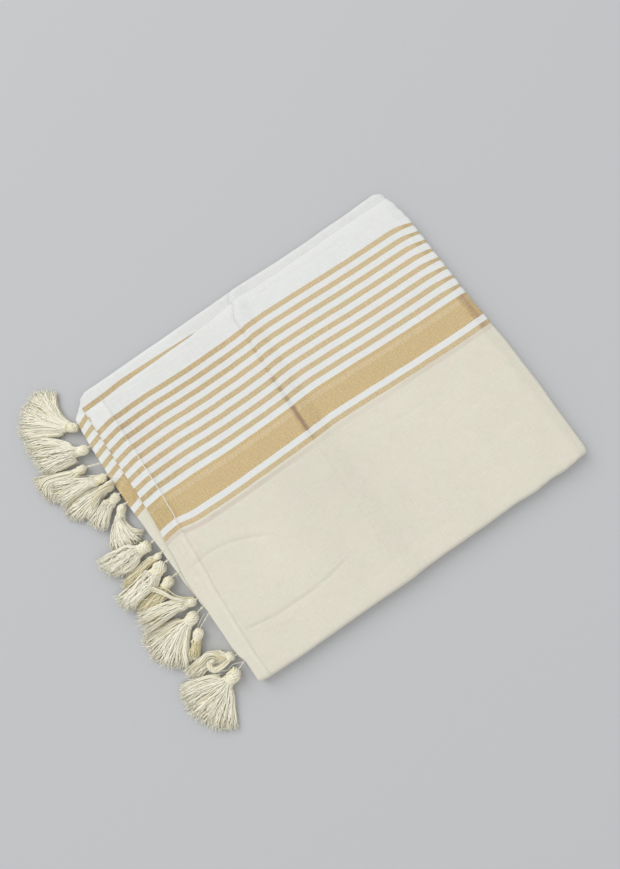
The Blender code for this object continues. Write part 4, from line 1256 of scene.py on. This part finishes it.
LOOSE_THREADS = (
    # points in millimetres
    ((-214, 93, 9), (-205, 88, 10), (-192, 80, 10.5), (-181, 73, 9), (-168, 61, 13.2)),
    ((-194, 90, 8), (-188, 87.5, 8), (-181, 84.6, 8.2)),
    ((-181, -80, 8), (-176, -77, 9.2), (-169, -74, 13.2)),
    ((-211, -110, 6), (-203, -116, 8), (-193, -118, 10), (-184, -122, 9.5)),
    ((-186, -118, 8), (-179, -122, 9), (-172, -121, 9.5), (-163, -124, 11)),
    ((-206, 12, 8), (-198, 6, 12), (-190, 3, 12.5), (-182, 4, 9)),
    ((-214, -30, 9), (-204, -38, 10), (-197, -45, 10), (-189, -46, 8)),
)


def make_loose_threads(material):
    yarns = Yarns()
    for points in LOOSE_THREADS:
        yarns.add(curve(np.array(points) * MM, 20)[None], 0.00024, 4, 0.9)
    return yarns.make("loose_threads", material)


# Studio

FLOOR_GREY = (0.578, 0.583, 0.592, 1)
LIGHTS = (
    # name, place, size, energy
    ("key", (-0.9, 2.9, 3.1), 3.4, 88),
    ("fill", (1.0, -1.5, 3.2), 2.4, 16),
)


def make_floor():
    mesh = bpy.data.meshes.new("floor")
    mesh.from_pydata([(-4, -4, 0), (4, -4, 0), (4, 4, 0), (-4, 4, 0)], [], [(0, 1, 2, 3)])
    t = Tree("studio_floor")
    t.set(Base_Color=FLOOR_GREY, Roughness=0.95, Specular_IOR_Level=0.1)
    mesh.materials.append(t.material)
    floor = bpy.data.objects.new("floor", mesh)
    bpy.context.scene.collection.objects.link(floor)


def make_lights():
    for name, place, size, energy in LIGHTS:
        data = bpy.data.lights.new(name, "AREA")
        data.size = size
        data.energy = energy
        lamp = bpy.data.objects.new(name, data)
        lamp.location = place
        lamp.rotation_euler = (-Vector(place)).to_track_quat("-Z", "Y").to_euler()
        bpy.context.scene.collection.objects.link(lamp)
    world = bpy.data.worlds.new("studio")
    world.use_nodes = True
    background = world.node_tree.nodes["Background"]
    background.inputs["Color"].default_value = (0.98, 0.99, 1.0, 1)
    background.inputs["Strength"].default_value = 0.58
    bpy.context.scene.world = world
    bpy.context.scene.view_settings.view_transform = "Standard"


# Assembly

def attach(piece, slot, *nodes):
    """Makes a piece ride with the packet and stand for some nodes, whose parts it hides. The slot is not
    used.
    """
    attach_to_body(piece, "root")
    if nodes:
        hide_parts(*nodes)


make_camera()
woven = woven_cotton()
yarn = yarn_cotton("tassel_yarn", *TASSEL_TONES, 0.0030, 0.4)
thread = yarn_cotton("sewing_thread", *THREAD_TONES, 0.0012, 0.25)
top = make_top_cloth(woven)
second = make_second_cloth(woven)
third = make_third_cloth(woven)
edges = make_fold_edges(woven)
stitches = make_stitches(thread)
loose = make_loose_threads(yarn)
attach(top, "cream_cotton", "top_layer")
attach(second, "white_cotton", "second_layer")
attach(third, "white_cotton", "third_layer")
attach(edges, "edge_cotton", "folded_layers")
attach(stitches, "cream_cotton")
attach(loose, "tassel_cotton")
for number, row in enumerate(TASSELS, start=1):
    tassel = make_tassel(number, row, yarn)
    attach(tassel, "tassel_cotton", f"tassel_{number:02d}")

make_floor()
make_lights()
